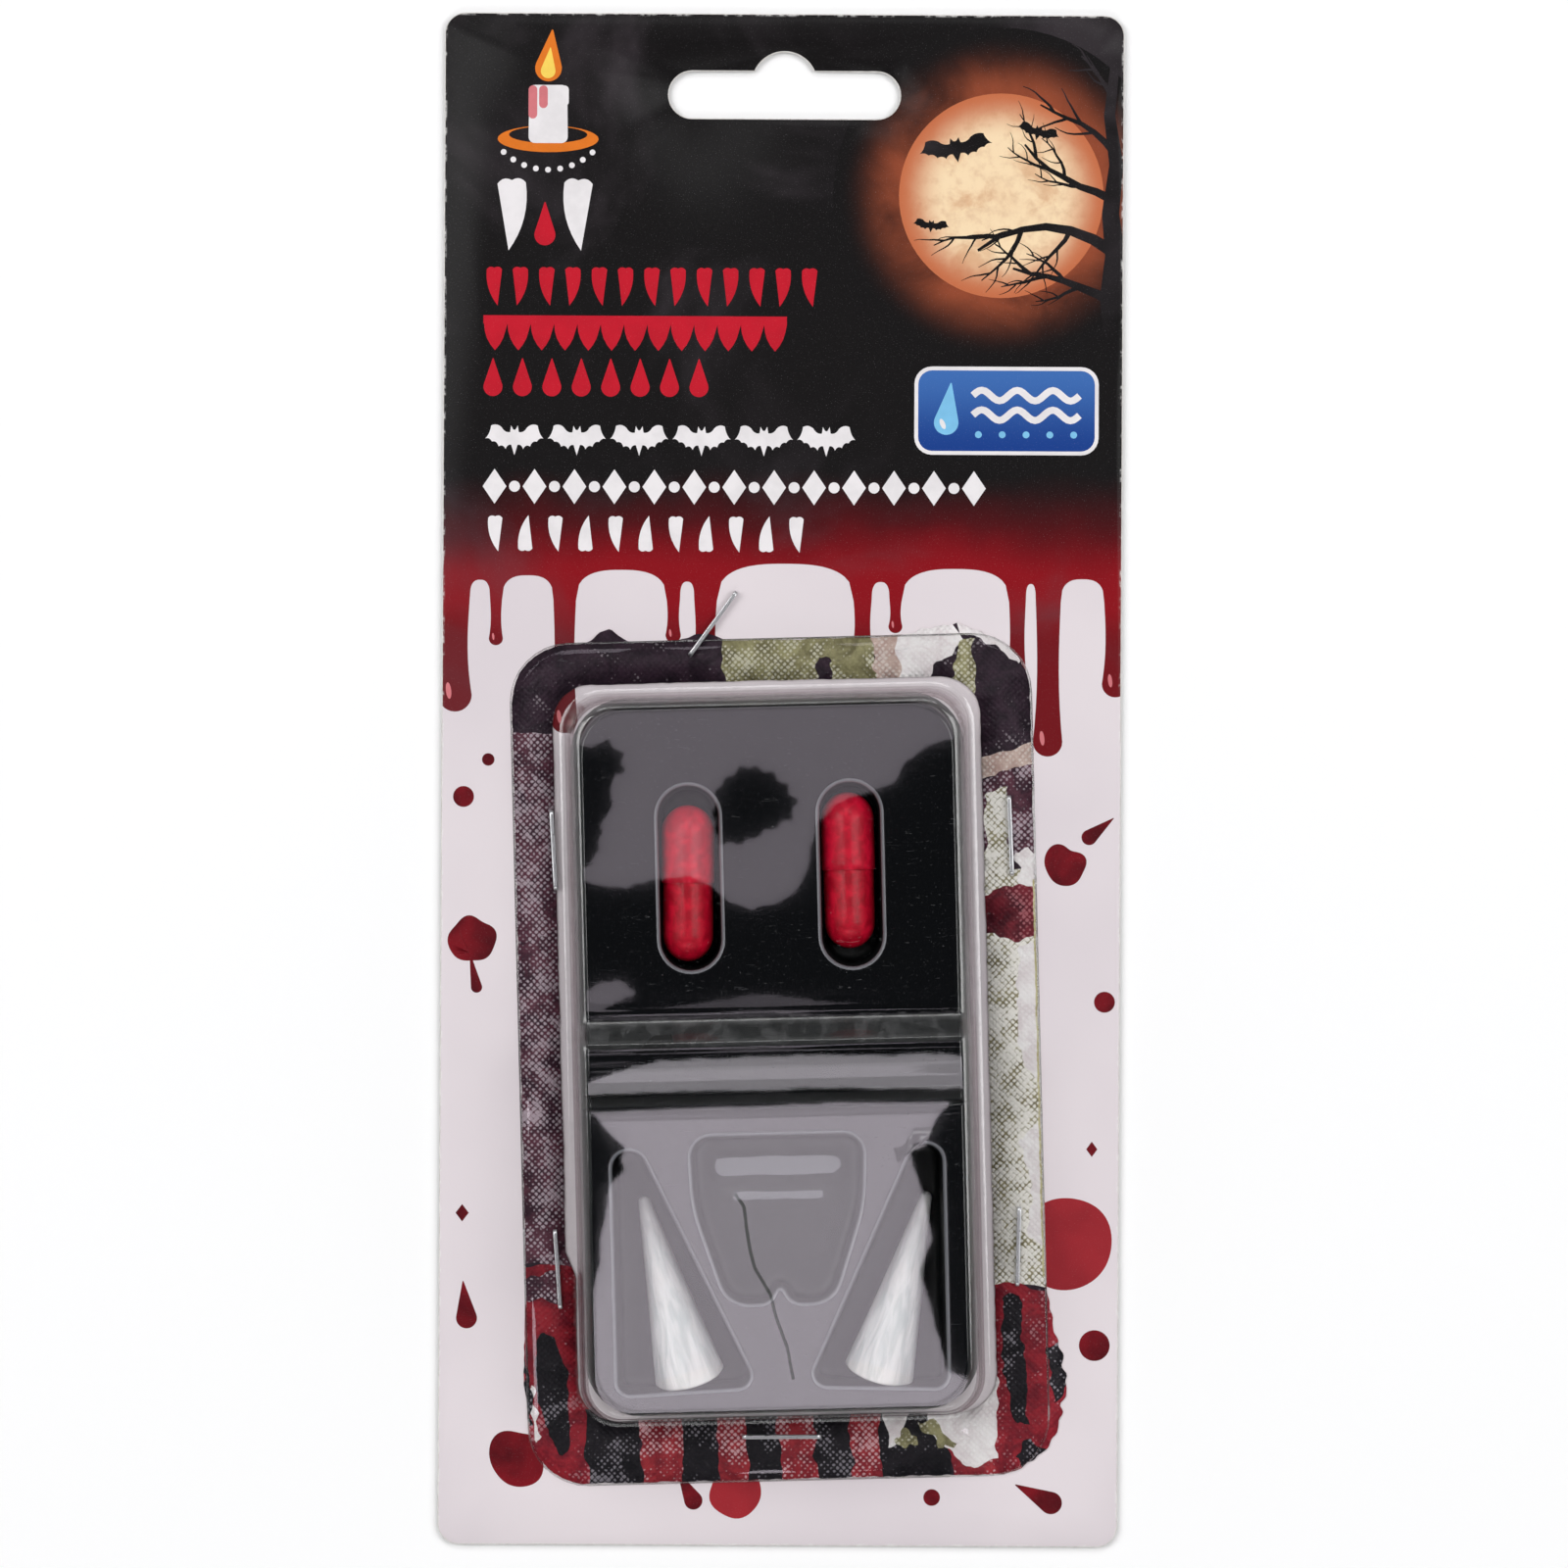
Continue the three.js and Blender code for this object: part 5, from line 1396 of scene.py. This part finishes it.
def build_capsule(name, side, seed, shift, askew, dyes):
    place = moved_by(
        side * CAPSULE_SPACING / 2 - 0.3,
        CAPSULE_Y + shift,
        UPPER_PANEL - CAPSULE_POCKET_DEPTH + SEAT_GAP + CAPSULE_RADIUS,
    )
    matrix = BLISTER @ place @ turned_by(askew) @ turned_by(-90, "X")

    def bend(x, y, z):
        """Shallow dents."""
        dent = 0.035 * math.sin(0.5 * z + seed + 2 * math.atan2(y, x))
        scale = 0.994 - max(0, dent) / CAPSULE_RADIUS
        return (x * scale, y * scale, z * 1.03)

    inset = CAPSULE_WALL + CAPSULE_FIT
    half = domed(CAPSULE_RADIUS - inset, CAPSULE_LENGTH - 2 * inset)
    wide, straight = half[0]
    middle = [(wide, z) for z in np.linspace(-straight, straight, 14)[1:-1]]
    body = [(r, -z) for r, z in half[::-1]] + middle + half

    mouth = CAPSULE_LENGTH / 2 - CAPSULE_CAP
    outer = domed(CAPSULE_RADIUS, CAPSULE_LENGTH)
    inner = domed(CAPSULE_RADIUS - CAPSULE_WALL, CAPSULE_LENGTH - 2 * CAPSULE_WALL)
    rim = [(CAPSULE_WALL, 0.05), (0.5 * CAPSULE_WALL, 0), (0.03, 0.02)]
    rim = [(CAPSULE_RADIUS - by, mouth + up) for by, up in rim]
    shank = [(CAPSULE_RADIUS, z) for z in np.linspace(mouth + 0.06, outer[0][1], 9)[:-1]]
    cap = inner[::-1] + rim + shank + outer

    for part, profile, dye in (("body", body, dyes[0]), ("cap", cap, dyes[1])):
        build = lathe(profile, 64, bend)
        nodes = [f"capsule_{name}_{part}"]
        build.make(f"gelatin_{name}_{part}", [dye], "red_gelatin", nodes, matrix)


# Staples

STAPLES = [  # node, middle, turn in degrees
    ("staple_top", (-0.126 * SHELL_WIDTH, SHELL_LENGTH / 2 + 1.3 * FLANGE_TOP), 52.2),
    ("staple_bottom", (-0.006 * SHELL_WIDTH, -SHELL_LENGTH / 2 - 0.29 * FLANGE_BOTTOM), -1.2),
    ("staple_left_upper", (-SHELL_WIDTH / 2 - 0.255 * FLANGE_LEFT, 0.287 * SHELL_LENGTH), 91.8),
    ("staple_left_lower", (-SHELL_WIDTH / 2 - 0.37 * FLANGE_LEFT, -0.288 * SHELL_LENGTH), 92.5),
    ("staple_right_upper", (SHELL_WIDTH / 2 + 0.605 * FLANGE_RIGHT, 0.292 * SHELL_LENGTH), 90.8),
    ("staple_right_lower", (SHELL_WIDTH / 2 + 0.57 * FLANGE_RIGHT, -0.272 * SHELL_LENGTH), 87.2),
]


def wire_path(top, bottom, bow):
    """The middle of the wire, foot to foot, with round bends."""
    half = STAPLE_CROWN / 2 - STAPLE_WIRE / 2
    high, low = top - STAPLE_WIRE / 2, bottom + STAPLE_WIRE / 2
    left = [(-half + STAPLE_FOOT, low), (-half, low), (-half, high)]
    right = [(half, high), (half, low), (half - STAPLE_FOOT, low)]
    path = resample(rounded_corners(left + right, STAPLE_BEND, 6), 0.9, closed=False)
    return [
        Vector((x, 0.0, z - (bow * (1 - (x / half) ** 2) if z > 0.9 * high else 0))) for x, z in path
    ]


def build_staple(node, middle, turn, material, bow):
    path = wire_path(STAPLE_TOP, -CARD_FRONT, bow)
    section = [
        (x * 0.5 * STAPLE_WIRE, y * 0.5 * STAPLE_WIDE)
        for x, y in rounded_box(-1, 1, -1, 1, STAPLE_BEND, 4)
    ]
    rings = []
    for index, point in enumerate(path):
        way = (path[min(index + 1, len(path) - 1)] - path[max(index - 1, 0)]).normalized()
        normal = Vector((-way.z, 0, way.x))
        rings.append([tuple(point + normal * u + Vector((0, v, 0))) for u, v in section])
    build = Build()
    build.bands(rings)
    count = len(section)
    for end in (rings[0], rings[-1]):
        centre = sum((Vector(p) for p in end), Vector()) / count
        build.add([centre, *end], [[0, 1 + i, 1 + (i + 1) % count] for i in range(count)])
    matrix = BLISTER @ moved_by(*middle, 0) @ turned_by(turn)
    piece = build.make(f"wire_{node}", [material], "steel_wire", [node], matrix)

    work = bmesh.new()
    work.from_mesh(piece.data)
    for edge in work.edges:
        if len(edge.link_faces) == 2 and edge.calc_face_angle(0) > math.radians(50):
            edge.smooth = False
    work.to_mesh(piece.data)
    work.free()


# Stage, light and camera

CAMERA_X, CAMERA_Y, CAMERA_HEIGHT = 0.42, -0.59, 985.0
CAMERA_TURN, CAMERA_LENS = 0.29, 158.3
LIGHT_HEIGHT, PICTURE_TO_LIGHT = 1500.0, 0.3494
LAMP_SHAPES = [  # what the film mirrors: name, strength, green, edge's unevenness, then outline and
    # holes in columns and rows of the picture
    (
        "lamp_upper",
        1.03,
        0.88,
        0.9,
        [
            (586, 712), (584, 896), (602, 902), (640, 908), (664, 900), (700, 896), (728, 906),
            (745, 922), (768, 927), (792, 922), (812, 910), (823, 892), (829, 864), (836, 838),
            (850, 822), (880, 811), (900, 804), (914, 797), (924, 776), (944, 762), (962, 755),
            (992, 752), (992, 712),
        ],
        [
            (586, 764), (604, 763), (620, 757), (636, 772), (638, 786), (624, 800), (626, 822),
            (615, 844), (612, 866), (604, 882), (586, 893),
        ],
        [
            (731, 804), (746, 789), (760, 781), (786, 785), (803, 800), (814, 818), (808, 835),
            (781, 849), (759, 861), (733, 861), (728, 835),
        ],
    ),
    (
        "lamp_blob",
        1.0,
        0.88,
        0.3,
        [(596, 1016), (612, 1004), (636, 1001), (650, 1015), (630, 1024), (612, 1034), (596, 1042)],
    ),
    (
        "lamp_arc",
        0.6,
        0.88,
        0.3,
        [
            (596, 1047), (640, 1035), (700, 1026), (760, 1018), (790, 1017), (840, 1022), (920, 1029),
            (990, 1036), (990, 1050), (596, 1058),
        ],
    ),
    (
        "lamp_ridge",
        2.4,
        0.93,
        0.3,
        [
            (590, 1108), (625, 1098), (645, 1090), (680, 1083), (740, 1079), (800, 1077), (860, 1075),
            (960, 1073), (990, 1078), (990, 1109), (827, 1109), (700, 1113), (590, 1118),
        ],
    ),
    (
        "lamp_lower",
        2.8,
        0.895,
        0.3,
        [
            (604, 1136), (614, 1142), (622, 1154), (634, 1166), (642, 1172), (636, 1184), (640, 1194),
            (626, 1210), (622, 1236), (617, 1262), (616, 1290), (608, 1320), (596, 1330), (592, 1446),
            (1000, 1450), (1000, 1410), (968, 1396), (958, 1364), (948, 1328), (939, 1297),
            (951, 1265), (944, 1220), (933, 1189), (930, 1174), (944, 1168), (957, 1137), (972, 1123),
            (800, 1126), (700, 1130),
        ],
    ),
]


def overhead(points):
    """A reflection's outline in the picture, as an outline on the lamps' plane."""
    return [
        (PICTURE_TO_LIGHT * (u - 800) + CAMERA_X, PICTURE_TO_LIGHT * (800 - v) + CAMERA_Y)
        for u, v in points
    ]


def emission(name, colour, strength):
    n = Nodes(name)
    n.tree.nodes.remove(n.shader)
    glow = n.node("ShaderNodeEmission", {"Color": colour, "Strength": strength})
    n.put(n.output.inputs["Surface"], glow.outputs[0])
    return n.material


def build_lamps():
    """Flat lamps, seen only in reflections and by their light."""
    for seed, (name, strength, green, uneven, *loops) in enumerate(LAMP_SHAPES):
        rough = [ragged(overhead(loop), uneven, 3 * seed + i, 2.2, 14) for i, loop in enumerate(loops)]
        points, faces, _ = plate(rough[0], rough[1:])
        data = bpy.data.meshes.new(name)
        data.from_pydata([(x * MM, y * MM, LIGHT_HEIGHT * MM) for x, y in points], [], faces)
        data.materials.append(emission(name, (0.98, green, 1.0), strength))
        link(bpy.data.objects.new(name, data))


def area_lamp(name, place, size, power):
    """A soft rectangle that faces the middle of the floor."""
    data = bpy.data.lights.new(name, "AREA")
    data.shape = "RECTANGLE"
    data.size, data.size_y = size
    data.energy = power
    lamp = link(bpy.data.objects.new(name, data))
    lamp.location = place
    lamp.rotation_euler = (-Vector(place)).to_track_quat("-Z", "Y").to_euler()


def build_stage():
    floor = Nodes("floor")
    floor.set(Base_Color=(0.98, 0.98, 0.985), Roughness=0.9, Specular_IOR_Level=0.1)
    bpy.ops.mesh.primitive_plane_add(size=6, location=(0, 0, 0))
    plane = bpy.context.object
    plane.name = "floor"
    plane.data.materials.append(floor.material)

    area_lamp("key_left", (-0.95, 0.3, 1.5), (0.75, 1.1), 12)
    area_lamp("key_right", (0.95, 0.2, 1.5), (0.75, 1.1), 11)
    area_lamp("fill_top", (0.0, 1.15, 1.5), (1.2, 0.5), 6.3)
    area_lamp("fill_bottom", (0.0, -1.15, 1.3), (1.2, 0.5), 4)

    # the sky is dark overhead, so that the black pieces have something dark to mirror
    world = bpy.data.worlds.new("studio")
    bpy.context.scene.world = world
    world.use_nodes = True
    tree = world.node_tree
    place = tree.nodes.new("ShaderNodeTexCoord")
    split = tree.nodes.new("ShaderNodeSeparateXYZ")
    ramp = tree.nodes.new("ShaderNodeMapRange")
    ramp.interpolation_type = "SMOOTHSTEP"
    for key, value in {"From Min": 0.55, "From Max": 0.93, "To Min": 0.435, "To Max": 0.0}.items():
        ramp.inputs[key].default_value = value
    tree.links.new(place.outputs["Generated"], split.inputs[0])
    tree.links.new(split.outputs["Z"], ramp.inputs["Value"])
    back = tree.nodes["Background"]
    back.inputs["Color"].default_value = (1, 1, 1, 1)
    tree.links.new(ramp.outputs[0], back.inputs["Strength"])


def build_camera():
    data = bpy.data.cameras.new("camera")
    data.lens, data.sensor_width = CAMERA_LENS, 36
    data.clip_start, data.clip_end = 0.01, 20
    camera = link(bpy.data.objects.new("camera", data))
    camera.location = (CAMERA_X * MM, CAMERA_Y * MM, CAMERA_HEIGHT * MM)
    camera.rotation_euler = (0, 0, math.radians(CAMERA_TURN))
    bpy.context.scene.camera = camera


build_card()
build_shell()
build_residue()
build_tray()
build_fang("left", -1, 3, 0.1, 1.0)
build_fang("right", 1, 7, 0.5, 2.1)
gelatins = [gelatin("body", "d40c30", "9e041e"), gelatin("cap", "dc1036", "aa0624")]
build_capsule("left", -1, 2.0, -0.87, -1.3, gelatins)
build_capsule("right", 1, 5.0, 0.435, 0.0, gelatins)
steel = wire_steel()
for count, (node, middle, turn) in enumerate(STAPLES):
    build_staple(node, middle, turn, steel, 0.02 + 0.01 * (count % 3))
build_lamps()
build_stage()
build_camera()

scene = bpy.context.scene
scene.view_settings.view_transform = "Standard"
scene.view_settings.look = "None"
scene.render.film_transparent = False
